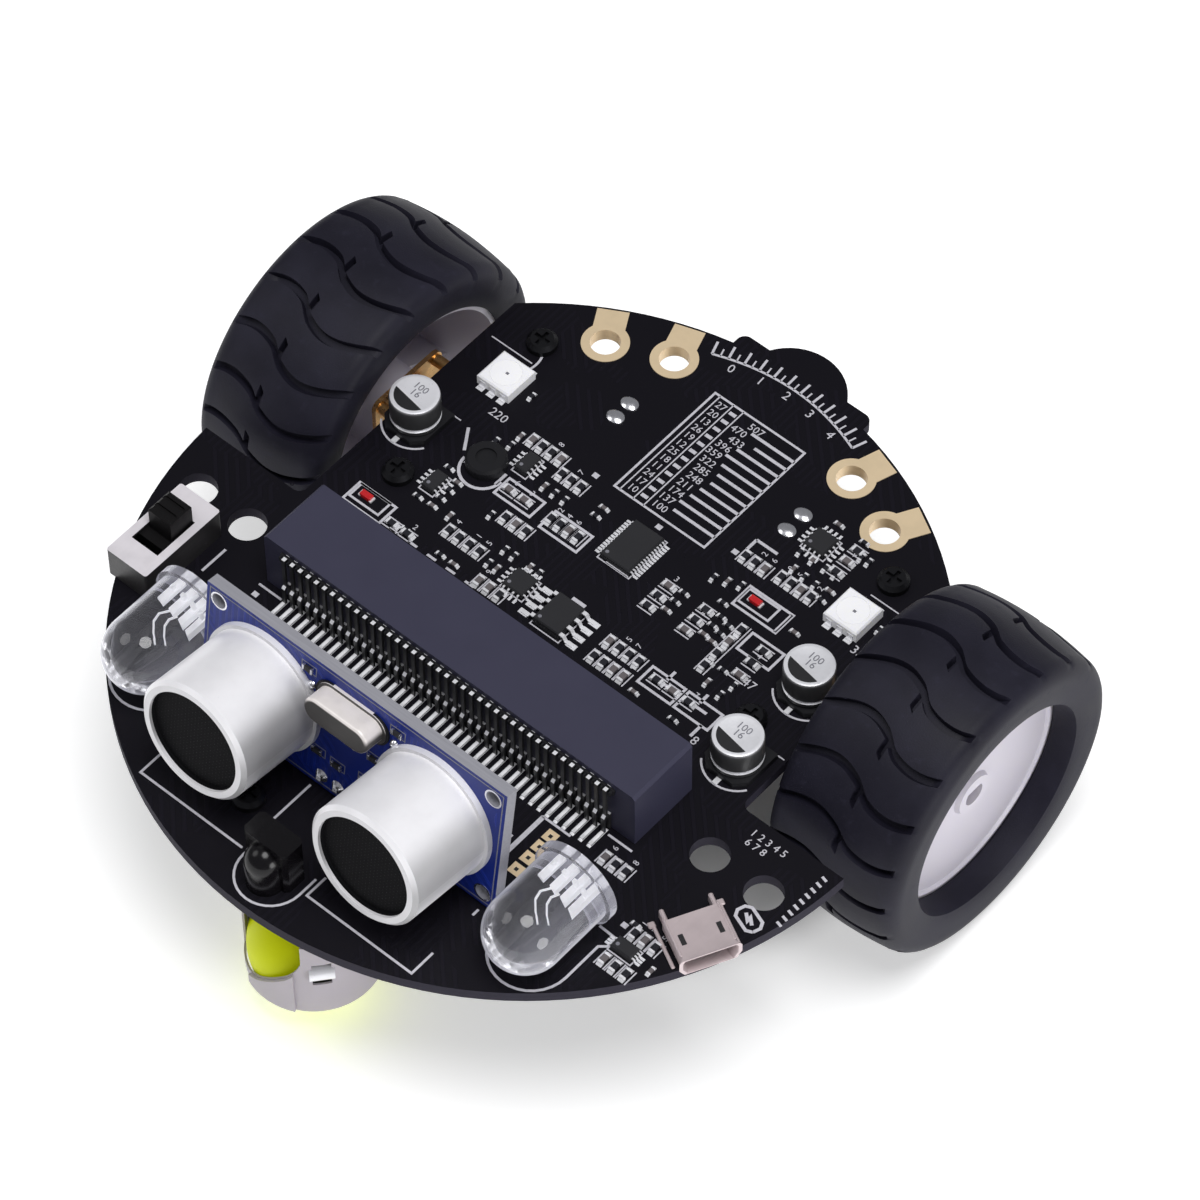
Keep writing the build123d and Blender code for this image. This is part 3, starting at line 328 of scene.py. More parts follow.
@dataclass(frozen=True)
class Metal(Finish):
    """Bare or plated metal with fine marks along its lay, a thin, uneven film on it, and painted shade on the faces
    that turn from the lit way.
    """

    lay: Lay = Lay.EVEN
    mark: float = 0.15
    depth: float = 0.004
    tarnish: float = 0.12
    metallic: float = 1.0
    # how strongly faces turned from lit_way are darkened: painted shade, not a film on the metal
    painted_side_shade: float = 0.0
    lit_way: Colour = (0.0, 0.0, 1.0)

    def paint(self, surface: Surface) -> None:
        """Builds the marks and the film, and darkens the faces that turn from the lit way with painted shade.

        Args:
            surface: the material's tree, empty but for its coordinates.
        """
        marks = surface.noise(self.mark, 4.0, self.lay)
        film = surface.noise(2.5, 3.0)
        colour = surface.mix(film.step(0.35, 0.75), self.colour, self.shade(1 - self.tarnish))
        colour = surface.mix(marks * 0.2, colour, self.shade(1 + self.tarnish))
        # Painted shade: faces turned from the lit way get a near-black colour.
        if self.painted_side_shade:
            turned = 1 - surface.facing(self.lit_way).step(0.15, 0.6)
            colour = surface.mix(turned * self.painted_side_shade, colour, self.shade(0.02))
        roughness = self.roughness + (marks - 0.5) * 0.25 + (film - 0.5) * 0.12
        surface.close(Base_Color=colour, Metallic=self.metallic, Roughness=roughness,
                      Specular_IOR_Level=self.specular, Normal=surface.bump(marks, self.depth))


@dataclass(frozen=True)
class SolderMask(Finish):
    """A printed circuit board: tracks under a satin mask, and the bare laminate round its edge."""

    laminate: Colour = (0.05, 0.05, 0.055)
    facing: Colour = (0.0, 0.0, 1.0)
    track: float = 0.9
    track_lift: float = 0.035
    lift_colour: float = 1.5

    def paint(self, surface: Surface) -> None:
        """Builds the tracks, the mask and the cut edge.

        Args:
            surface: the material's tree, empty but for its coordinates.
        """
        cells = surface.node("ShaderNodeTexVoronoi", {"distance": "CHEBYCHEV"},
                             {"Vector": surface.place, "Scale": 0.16}, "Color")
        turn = surface.node("ShaderNodeSeparateColor", {}, {0: cells}, 0)
        waves = [surface.node("ShaderNodeTexWave", {"bands_direction": way},
                              {"Vector": surface.place, "Scale": 0.31 / self.track, "Distortion": 0.0}, "Fac")
                 for way in ("X", "DIAGONAL")]
        pick = turn > 0.5
        lines = (waves[0] * pick + waves[1] * (1 - pick)).step(0.62, 0.72)
        lines = lines * (surface.noise(9.0, 1.0) > 0.5)
        speck = surface.noise(0.25, 2.0)
        mask = surface.mix(lines, self.colour, self.shade(self.lift_colour))
        mask = surface.mix(speck * 0.3, mask, self.shade(0.6))
        fibres = surface.noise(0.3, 3.0, Lay.ACROSS)
        edge = surface.mix(fibres, self.laminate, tuple(part * 0.7 for part in self.laminate))
        flat = surface.facing(self.facing).step(0.35, 0.6)
        roughness = self.roughness + (speck - 0.5) * 0.15 + (1 - flat) * 0.2
        relief = surface.bump(lines * flat, self.track_lift)
        surface.close(Base_Color=surface.mix(flat, edge, mask), Roughness=roughness,
                      Specular_IOR_Level=self.specular, Normal=surface.bump(speck, 0.003, relief))


@dataclass(frozen=True)
class Ink(Finish):
    """Screen-printed ink: nearly even, with thin spots and a slight tooth."""

    def paint(self, surface: Surface) -> None:
        """Builds the thin spots and the tooth.

        Args:
            surface: the material's tree, empty but for its coordinates.
        """
        thin = surface.noise(0.5, 3.0)
        tooth = surface.noise(0.08, 2.0)
        surface.close(Base_Color=surface.mix(thin.step(0.45, 0.8), self.colour, self.shade(0.78)),
                      Roughness=self.roughness + (tooth - 0.5) * 0.2, Normal=surface.bump(tooth, 0.004))


@dataclass(frozen=True)
class Rubber(Finish):
    """Soft tyre rubber: matt and cloudy, with a fine tooth, a bloom and a little dust."""

    bloom: Colour = (0.02, 0.019, 0.033)

    def paint(self, surface: Surface) -> None:
        """Builds the tooth, the bloom and the dust.

        Args:
            surface: the material's tree, empty but for its coordinates.
        """
        cloud = surface.noise(7.0, 4.0)
        tooth = surface.noise(0.2, 3.0)
        dust = surface.noise(1.4, 5.0).step(0.58, 0.8)
        colour = surface.mix(cloud.step(0.3, 0.75) * 0.6, self.colour, self.bloom)
        colour = surface.mix(dust * 0.22, colour, tuple(part * 2.0 for part in self.bloom))
        surface.close(Base_Color=colour, Roughness=self.roughness + (cloud - 0.5) * 0.2 + dust * 0.12,
                      Specular_IOR_Level=self.specular, Normal=surface.bump(tooth, 0.02))


@dataclass(frozen=True)
class Backdrop(Finish):
    """Pale paper that glows everywhere but under the robot, where the missing glow leaves a painted shadow."""

    light: float = 0.5
    middle: tuple[float, float] = (10.0, 9.0)
    shadow_within: float = 24.0
    light_beyond: float = 33.0

    def paint(self, surface: Surface) -> None:
        """Builds the paper's grain and the light that fades in beyond the robot.

        Args:
            surface: the material's tree, empty but for its coordinates.
        """
        grain = surface.noise(0.5, 3.0)
        offset = surface.vector("SUBTRACT", surface.place, (*self.middle, 0.0))
        reach = surface.vector("LENGTH", offset, output="Value")
        # Painted shadow: no glow near the middle, so the floor under the robot is darker.
        beyond = reach.step(self.shadow_within, self.light_beyond)
        surface.close(Base_Color=surface.mix(grain * 0.1, self.colour, self.shade(0.97)),
                      Roughness=self.roughness + (grain - 0.5) * 0.1, Specular_IOR_Level=self.specular,
                      Emission_Color=surface.mix(beyond, (0.0, 0.0, 0.0), self.colour),
                      Emission_Strength=self.light)


@dataclass(frozen=True)
class ClearResin(Finish):
    """Cast clear resin: clear to look into, with painted light towards its edges and its underside, where a white
    glowing layer is mixed in.
    """

    edge_light: float = 0.8
    low_level: float = 28.4
    low_tall: float = 1.3
    haze: float = 0.03
    painted_glow_strength: float = 0.15

    def paint(self, surface: Surface) -> None:
        """Builds the clear body and the painted glow and highlights at its edges and underside.

        Args:
            surface: the material's tree, empty but for its coordinates.
        """
        ripple = surface.noise(2.4, 1.0)
        cloud = surface.noise(1.1, 3.0)
        height = surface.part("Z", surface.place) - self.low_level
        edge = surface.node("ShaderNodeLayerWeight", {}, {"Blend": 0.5}, "Facing").step(0.42, 0.95)
        low = 1 - height.step(0.3, self.low_tall)
        clear = surface.shader(Base_Color=surface.mix(cloud, self.colour, self.shade(0.97)),
                               Roughness=self.roughness, Transmission_Weight=1.0, IOR=1.5,
                               Normal=surface.bump(ripple, 0.004))
        # A white glowing layer, mixed in at the edges and near the board: painted light and highlights.
        lit = surface.shader(Base_Color=surface.mix(cloud.step(0.3, 0.7), (0.9, 0.9, 0.95), (0.6, 0.6, 0.68)),
                             Roughness=self.roughness + 0.1, Normal=surface.bump(ripple, 0.01),
                             Emission_Color=(0.85, 0.85, 1.0), Emission_Strength=self.painted_glow_strength)
        share = (edge + low * 0.5) * (0.5 + cloud) * self.edge_light + self.haze
        surface.close(surface.node("ShaderNodeMixShader", {}, {0: share, 1: clear, 2: lit}))


@dataclass(frozen=True)
class Printed(Finish):
    """A shrink sleeve or label: a printed film in two bands over a smooth body."""

    band: Colour = (0.05, 0.05, 0.06)
    band_start: float = 12.0

    def paint(self, surface: Surface) -> None:
        """Builds the two bands and the wrinkles of the film.

        Args:
            surface: the material's tree, empty but for its coordinates.
        """
        wrinkle = surface.noise(1.2, 3.0, Lay.ACROSS)
        colour = surface.mix(surface.part("X", surface.place) > self.band_start, self.colour, self.band)
        surface.close(Base_Color=surface.mix(wrinkle * 0.15, colour, (0.02, 0.02, 0.02)),
                      Roughness=self.roughness + (wrinkle - 0.5) * 0.2, Coat_Weight=0.3,
                      Normal=surface.bump(wrinkle, 0.02))


class Finishes:
    """Every finish on the robot."""

    board = SolderMask("board_black", (0.0042, 0.0035, 0.0068), 0.5, 0.14, laminate=(0.03, 0.027, 0.042))
    sensor_board = SolderMask("sensor_board_black", (0.008, 0.008, 0.01), 0.5, 0.14)
    lean = radians(8.5)
    blue_board = SolderMask("board_blue", (0.006, 0.02, 0.2), 0.36, 0.3, laminate=(0.36, 0.36, 0.4),
                            facing=(0.0, -cos(lean), sin(lean)), lift_colour=1.35)
    ink = Ink("legend_ink", (0.6, 0.59, 0.64), 0.55)
    grey_ink = Ink("legend_grey", (0.2, 0.2, 0.23), 0.55)
    black_ink = Ink("mark_black", (0.012, 0.012, 0.014), 0.45)
    gold = Metal("pad_gold", (0.98, 0.77, 0.5), 0.42, tarnish=0.1, metallic=0.5)
    tin = Metal("bright_tin", (0.92, 0.92, 0.96), 0.34, tarnish=0.12, metallic=0.3)
    # Painted shade on the contacts' faces that turn from the light; only their tops stay bright.
    contact = Metal("tinned_contact", (0.9, 0.9, 0.93), 0.36, lay=Lay.UPRIGHT, mark=0.3, metallic=0.3,
                    painted_side_shade=0.985)
    solder = Metal("solder", (0.8, 0.8, 0.84), 0.24, mark=0.4, depth=0.02)
    foot_solder = Metal("foot_solder", (0.95, 0.95, 0.98), 0.45, mark=0.15, tarnish=0.05, depth=0.006, metallic=0.0)
    housing = Moulded("housing_slate", (0.037, 0.036, 0.066), 0.5, 0.35, grain=0.16, depth=0.008, mottle=0.08)
    black_plastic = Moulded("black_plastic", (0.01, 0.01, 0.012), 0.45, 0.25)
    gloss_black = Moulded("receiver_epoxy", (0.004, 0.0035, 0.0045), 0.2, 0.3, grain=0.6, depth=0.004)
    chip_black = Moulded("chip_black", (0.02, 0.02, 0.023), 0.55, 0.3, grain=0.1, depth=0.008)
    resistor = Moulded("resistor_film", (0.014, 0.014, 0.02), 0.3)
    capacitor = Moulded("capacitor_ceramic", (0.13, 0.115, 0.12), 0.45, mottle=0.25)
    # Painted shade on the sides of both kinds of can that turn from the light.
    can = Metal("can_aluminium", (0.97, 0.96, 0.99), 0.36, lay=Lay.AHEAD, mark=0.2, depth=0.004, tarnish=0.05,
                metallic=0.2, painted_side_shade=0.6, lit_way=(-0.25, -0.25, 0.93))
    cap_can = Metal("capacitor_aluminium", (0.86, 0.86, 0.9), 0.34, lay=Lay.UPRIGHT, mark=0.25, metallic=0.3,
                    painted_side_shade=0.96)
    weave = Metal("mesh_black", (0.014, 0.014, 0.015), 0.6, 0.2, metallic=0.0)
    mesh_back = Moulded("mesh_backing", (0.004, 0.004, 0.005), 0.8, 0.1, grain=0.3)
    # Painted shade on the crystal's sides; its top stays bright.
    crystal = Metal("crystal_case", (0.93, 0.87, 0.84), 0.4, lay=Lay.ACROSS, mark=0.3, metallic=0.2,
                    painted_side_shade=0.95)
    lens = ClearResin("lamp_clear", (0.96, 0.96, 1.0), 0.0)
    # The leadframe, the white lights and the light resin glow with painted light.
    frame_silver = Moulded("leadframe_silver", (0.93, 0.93, 0.97), 0.3, mottle=0.2, painted_glow=0.3)
    led_white = Moulded("led_white", (0.93, 0.93, 0.95), 0.4, mottle=0.03, glow=0.1, painted_glow=0.1)
    led_resin = Moulded("led_resin", (0.95, 0.95, 0.97), 0.3, mottle=0.05, glow=0.1, painted_glow=0.12)
    led_red = Moulded("led_red", (0.55, 0.015, 0.02), 0.2, mottle=0.2, glow=0.3)
    # Painted shade on the switch shell's upright faces.
    switch_steel = Metal("switch_steel", (0.86, 0.82, 0.86), 0.42, lay=Lay.AHEAD, mark=0.3, metallic=0.2,
                         painted_side_shade=0.985)
    lever = Moulded("lever_black", (0.005, 0.0045, 0.005), 0.5, 0.15)
    shell_steel = Metal("plated_steel", (0.74, 0.71, 0.77), 0.3, lay=Lay.AHEAD, mark=0.3)
    usb_steel = Metal("socket_steel", (0.66, 0.56, 0.57), 0.36, lay=Lay.AHEAD, mark=0.3, metallic=0.4)
    motor_steel = Metal("motor_steel", (0.72, 0.71, 0.74), 0.28, lay=Lay.ACROSS, mark=0.2)
    brass = Metal("gear_brass", (0.83, 0.5, 0.2), 0.3, mark=0.3, tarnish=0.3)
    shaft = Metal("shaft_steel", (0.66, 0.65, 0.68), 0.22, lay=Lay.ACROSS, mark=0.15)
    bracket = Moulded("bracket_black", (0.014, 0.014, 0.017), 0.5, grain=0.2, depth=0.012)
    hub = Moulded("hub_white", (0.63, 0.6, 0.67), 0.38, mottle=0.03, glow=0.1)
    rubber = Rubber("tyre_rubber", (0.0095, 0.0088, 0.0165), 0.55, 0.2)
    cage = Moulded("caster_white", (0.42, 0.385, 0.42), 0.4, mottle=0.06, glow=0.1)
    # The ball's glow is painted light that lifts it out of the shade under the board.
    lime = Moulded("ball_lime", (0.74, 0.82, 0.0), 0.45, 0.15, grain=0.4, depth=0.01, mottle=0.05, painted_glow=0.04)
    sleeve = Printed("cell_sleeve", (0.02, 0.16, 0.12), 0.35)
    screw = Metal("screw_black", (0.02, 0.02, 0.023), 0.35, metallic=0.8)

    nodes: dict[Finish, str] = {
        board: "main_board", sensor_board: "line_sensor_board", gold: "ring_pads",
        housing: "edge_connector_housing", contact: "upper_contacts lower_contacts", blue_board: "sonar_board",
        can: "left_transducer_can right_transducer_can", mesh_back: "transducer_meshes",
        crystal: "sonar_crystal", lens: "left_searchlight_lens right_searchlight_lens",
        tin: "sonar_pins searchlight_leads caster_roller_right caster_roller_rear caster_roller_left",
        black_plastic: "sonar_header capacitor_bases microphone buzzer switch_base motor_endcaps battery_holder",
        led_white: "rgb_leds", led_red: "indicator_leds", gloss_black: "ir_receiver line_sensors",
        chip_black: "ic_packages", switch_steel: "switch_shell", lever: "switch_lever",
        motor_steel: "motor_cans", brass: "gearbox_frames sensor_standoffs left_gear_a left_gear_b left_gear_c "
        "right_gear_a right_gear_b right_gear_c", shaft: "left_motor_pinion left_output_shaft "
        "right_motor_pinion right_output_shaft", hub: "left_hub right_hub", bracket: "motor_brackets",
        lime: "caster_ball", sleeve: "battery_cell", shell_steel: "battery_contacts",
        screw: "board_screws board_nuts",
    }

    @classmethod
    def dress_frame(cls) -> int:
        """Gives the frame's own nodes their finishes.

        Returns:
            How many nodes it dressed.
        """
        pairs = [(name, finish) for finish, names in cls.nodes.items() for name in names.split()]
        for name, finish in pairs:
            for slot in frame["nodes"][name].material_slots:
                slot.material = finish.material()
        return len(pairs)


# --- places
def shift(*place: float) -> Matrix:
    """A move."""
    return Matrix.Translation(place)


def turned(angle: float, axis: str = "Z") -> Matrix:
    """A turn by an angle in degrees."""
    return Matrix.Rotation(radians(angle), 4, axis)


def scaled(*lengths: float) -> Matrix:
    """A stretch along X, Y and Z."""
    return Matrix.Diagonal((*lengths, 1.0))


def arc(middle: Point, radius: float, start: float, stop: float, steps: int = 16) -> list[Flat]:
    """The points of an arc round a middle, from one angle to another in degrees."""
    turns = [radians(start + (stop - start) * k / steps) for k in range(steps + 1)]
    return [(middle[0] + radius * cos(t), middle[1] + radius * sin(t)) for t in turns]


def rectangle(x: float, y: float, middle: Point = (0.0, 0.0)) -> list[Flat]:
    """The corners of a rectangle, from its half lengths."""
    return [(middle[0] + a * x, middle[1] + b * y) for a, b in ((-1, -1), (1, -1), (1, 1), (-1, 1))]


def stadium(half: float, radius: float) -> list[Flat]:
    """The outline of a bar with round ends, whose centres lie half a length from its middle."""
    return [*arc((half, 0), radius, -90, 90, 12), *arc((-half, 0), radius, 90, 270, 12)]


@dataclass(frozen=True)
class Box:
    """An upright box in millimetres."""

    low: Vector
    high: Vector

    @classmethod
    def of(cls, node: str) -> "Box":
        """The box of a frame node."""
        low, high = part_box(node)
        return cls(low / MM, high / MM)

    @property
    def centre(self) -> Vector:
        """The middle of the box."""
        return (self.low + self.high) / 2

    @property
    def size(self) -> Vector:
        """The box's lengths."""
        return self.high - self.low

    @property
    def foot(self) -> Vector:
        """The middle of its lowest face."""
        return Vector((self.centre.x, self.centre.y, self.low.z))


def solids_of(node: str) -> list[Box]:
    """The boxes of a frame node's separate solids, from left to right.

    Args:
        node: the frame node's name.

    Returns:
        A box for each solid, in millimetres.
    """
    shape = bmesh.new()
    shape.from_mesh(frame["nodes"][node].data)
    bmesh.ops.remove_doubles(shape, verts=shape.verts, dist=1e-6)
    left = set(shape.verts)
    boxes = []
    while left:
        seed = left.pop()
        group, queue = [seed], [seed]
        while queue:
            near = {vert for edge in queue.pop().link_edges for vert in edge.verts} & left
            left -= near
            group += near
            queue += near
        corners = [vert.co / MM for vert in group]
        boxes.append(Box(*(Vector([pick(c[i] for c in corners) for i in range(3)]) for pick in (min, max))))
    shape.free()
    return sorted(boxes, key=lambda box: (round(box.centre.x, 2), round(box.centre.y, 2)))


@dataclass(frozen=True)
class Datum:
    """The levels and lines that sub-assemblies are placed from."""

    axle_y: float
    top: float
    underside: float

    @classmethod
    def read(cls) -> "Datum":
        """Reads them from the frame."""
        board = Box.of("main_board")
        return cls(Box.of("left_hub").centre.y, board.high.z, board.low.z)

    def at(self, right: float, ahead: float, height: float = 0.0) -> Vector:
        """A place on the main board."""
        return Vector((right, self.axle_y - ahead, self.top + height))

    def seat(self, right: float, ahead: float, height: float = 0.0) -> Matrix:
        """A move from the origin to a place on the main board."""
        return shift(*self.at(right, ahead, height))

    def each(self, node: str) -> Iterator[tuple[Box, float, float]]:
        """Each solid of a frame node, with its place to the right and ahead."""
        for box in solids_of(node):
            yield box, box.centre.x, self.axle_y - box.centre.y


# --- meshes
def side_name(side: int) -> str:
    """The word for a side: 1 is right and -1 is left."""
    return "right" if side > 0 else "left"


class Shape:
    """A mesh under construction, in millimetres."""

    def __init__(self) -> None:
        """Starts empty."""
        self.mesh = bmesh.new()

    def _place(self, verts: Iterable[bmesh.types.BMVert], seat: Matrix | None) -> None:
        """Moves new vertices to their seat."""
        if seat is not None:
            bmesh.ops.transform(self.mesh, matrix=seat, verts=list(verts))

    def corners(self, points: Iterable[Point]) -> list[bmesh.types.BMVert]:
        """Adds vertices at these places."""
        return [self.mesh.verts.new(point) for point in points]

    def skin(self, first: Sequence[bmesh.types.BMVert], second: Sequence[bmesh.types.BMVert]) -> None:
        """Joins two rings with as many vertices by a band of faces."""
        for k, corner in enumerate(first):
            n = (k + 1) % len(first)
            self.mesh.faces.new((corner, first[n], second[n], second[k]))

    def move(self, seat: Matrix) -> "Shape":
        """Moves all of it."""
        self._place(self.mesh.verts, seat)
        return self

    def box(self, size: Point, centre: Point = (0, 0, 0), edge: float = 0.0,
            seat: Matrix | None = None) -> "Shape":
        """Adds a box.

        Args:
            size: its lengths.
            centre: its middle.
            edge: how far its edges are bevelled.
            seat: where it all goes.

        Returns:
            This shape.
        """
        place = Matrix.Translation(Vector(centre)) @ Matrix.Diagonal((*size, 1.0))
        made = bmesh.ops.create_cube(self.mesh, size=1.0, matrix=place)["verts"]
        if edge:
            edges = {e for vert in made for e in vert.link_edges}
            bevel = bmesh.ops.bevel(self.mesh, geom=list(edges), offset=edge, segments=1, affect="EDGES")
            made = {vert for face in bevel["faces"] for vert in face.verts}
        self._place(made, seat)
        return self

    def boxes(self, blocks: Iterable[Block], seat: Matrix | None = None) -> "Shape":
        """Adds several boxes, each given by its lengths, its middle and the bevel of its edges."""
        for size, centre, edge in blocks:
            self.box(size, centre, edge, seat)
        return self

    def prism(self, outline: Sequence[Point], low: float, high: float,
              seat: Matrix | None = None) -> "Shape":
        """Adds a flat outline given a thickness.

        Args:
            outline: its corners, anticlockwise.
            low: level of its lower face.
            high: level of its upper face.
            seat: where it all goes.

        Returns:
            This shape.
        """
        under, over = (self.corners((x, y, level) for x, y in outline) for level in (low, high))
        self.mesh.faces.new(over)
        self.mesh.faces.new(under[::-1])
        self.skin(under, over)
        self._place(under + over, seat)
        return self

    def line(self, points: Sequence[Point], width: float, height: float, level: float = 0.0,
             closed: bool = False, seat: Matrix | None = None) -> "Shape":
        """Adds a flat line of even width with mitred corners.

        Args:
            points: the places that its middle passes.
            width: its width.
            height: its thickness.
            level: where its underside is.
            closed: whether it comes back to its start.
            seat: where it all goes.

        Returns:
            This shape.
        """
        path = [Vector(point[:2]) for point in points]
        count = len(path)
        verts = []
        for i, point in enumerate(path):
            ways = [(path[b % count] - path[a]).normalized() for a, b in ((i - 1, i), (i, i + 1))
                    if closed or (a >= 0 and b < count)]
            normals = [Vector((-way.y, way.x)) for way in ways]
            mitre = sum(normals, Vector((0, 0))).normalized()
            reach = width / 2 / max(0.3, mitre.dot(normals[0]))
            verts += self.corners((*(point + mitre * reach * s), z) for z in (level, level + height)
                                  for s in (1, -1))
        for i in range(count if closed else count - 1):
            a, b = verts[4 * i:4 * i + 4], verts[4 * ((i + 1) % count):4 * ((i + 1) % count) + 4]
            for j, k in ((0, 1), (1, 3), (3, 2), (2, 0)):
                self.mesh.faces.new((a[j], a[k], b[k], b[j]))
        if not closed:
            for end in (verts[:4], verts[-4:]):
                self.mesh.faces.new((end[0], end[1], end[3], end[2]))
        self._place(verts, seat)
        return self

    def lathe(self, profile: Sequence[Point], segments: int = 32, seat: Matrix | None = None,
              loop: bool = False) -> "Shape":
        """Turns a profile of (radius, height) about Z.

        Args:
            profile: its points; a radius of 0 closes it on the axis.
            segments: faces round it.
            seat: where it all goes.
            loop: whether the profile comes back to its start, as for a ring.

        Returns:
            This shape.
        """
        turns = [2 * pi * k / segments for k in range(segments)]
        rings = [self.corners([(radius * cos(t), radius * sin(t), height) for t in turns] if radius > 1e-6
                              else [(0, 0, height)]) for radius, height in profile]
        for i in range(len(rings) if loop else len(rings) - 1):
            a, b = rings[i], rings[(i + 1) % len(rings)]
            for k in range(segments):
                n = (k + 1) % segments
                corners = [a[k % len(a)], a[n % len(a)], b[n % len(b)], b[k % len(b)]]
                unique = list(dict.fromkeys(corners))
                if len(unique) > 2:
                    self.mesh.faces.new(unique)
        if not loop:
            for ring in (rings[0], rings[-1]):
                if len(ring) > 2:
                    self.mesh.faces.new(ring)
        self._place([vert for ring in rings for vert in ring], seat)
        return self

    def ring(self, inner: float, outer: float, low: float, high: float, segments: int = 32,
             seat: Matrix | None = None) -> "Shape":
        """Adds a flat ring."""
        return self.lathe([(inner, low), (outer, low), (outer, high), (inner, high)], segments, seat, True)

    def add(self, mesh: Mesh, seat: Matrix) -> "Shape":
        """Adds a copy of a mesh, which is in millimetres too.

        Args:
            mesh: the mesh.
            seat: where the copy goes.

        Returns:
            This shape.
        """
        start = len(self.mesh.verts)
        self.mesh.from_mesh(mesh)
        self.mesh.verts.ensure_lookup_table()
        self._place(self.mesh.verts[start:], seat)
        return self

    def data(self, name: str, crease: float = 35.0) -> Mesh:
        """Closes the shape.

        Args:
            name: the mesh's name.
            crease: the angle, in degrees, from which an edge is sharp.

        Returns:
            The mesh, in metres, with its faces pointing outwards.
        """
        bmesh.ops.recalc_face_normals(self.mesh, faces=self.mesh.faces)
        bmesh.ops.scale(self.mesh, vec=(MM, MM, MM), verts=self.mesh.verts)
        made = bpy.data.meshes.new(name)
        self.mesh.to_mesh(made)
        self.mesh.free()
        made.shade_smooth()
        made.set_sharp_from_angle(angle=radians(crease))
        return made

    def piece(self, name: str, finish: Finish, body: str = CHASSIS, crease: float = 35.0,
              slot: str | None = None) -> Object:
        """Makes the shape a piece of the robot, with edges sharp from the crease's angle in degrees."""
        return fit(name, self.data(name, crease), finish, body)


def fit(name: str, mesh: Mesh, finish: Finish, body: str = CHASSIS) -> Object:
    """Puts a finished mesh in the scene as a piece that rides on a body.

    Args:
        name: the piece's name.
        mesh: its mesh, in metres and in place.
        finish: its finish.
        body: the body that it rides on.

    Returns:
        The piece.
    """
    mesh.name = name
    mesh.materials.clear()
    mesh.materials.append(finish.material())
    made = bpy.data.objects.new(name, mesh)
    bpy.context.scene.collection.objects.link(made)
    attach(made, body)
    log.info("%s: %d faces on %s", name, len(mesh.polygons), body)
    return made


class Lettering:
    """Plain figures cut from the built-in typeface, kept for reuse."""

    shapes: dict[str, Mesh] = {}

    @classmethod
    def figures(cls, text: str) -> Mesh:
        """A flat mesh of a row of figures 1 mm tall, centred on its origin."""
        if text not in cls.shapes:
            curve = bpy.data.curves.new(text, "FONT")
            curve.body = text
            curve.size = 1.4
            curve.extrude = 0.01
            curve.resolution_u = 2
            curve.align_x, curve.align_y = "CENTER", "CENTER"
            host = bpy.data.objects.new(text, curve)
            bpy.context.scene.collection.objects.link(host)
            bpy.context.view_layer.update()
            cls.shapes[text] = bpy.data.meshes.new_from_object(host)
            bpy.data.objects.remove(host)
        return cls.shapes[text]


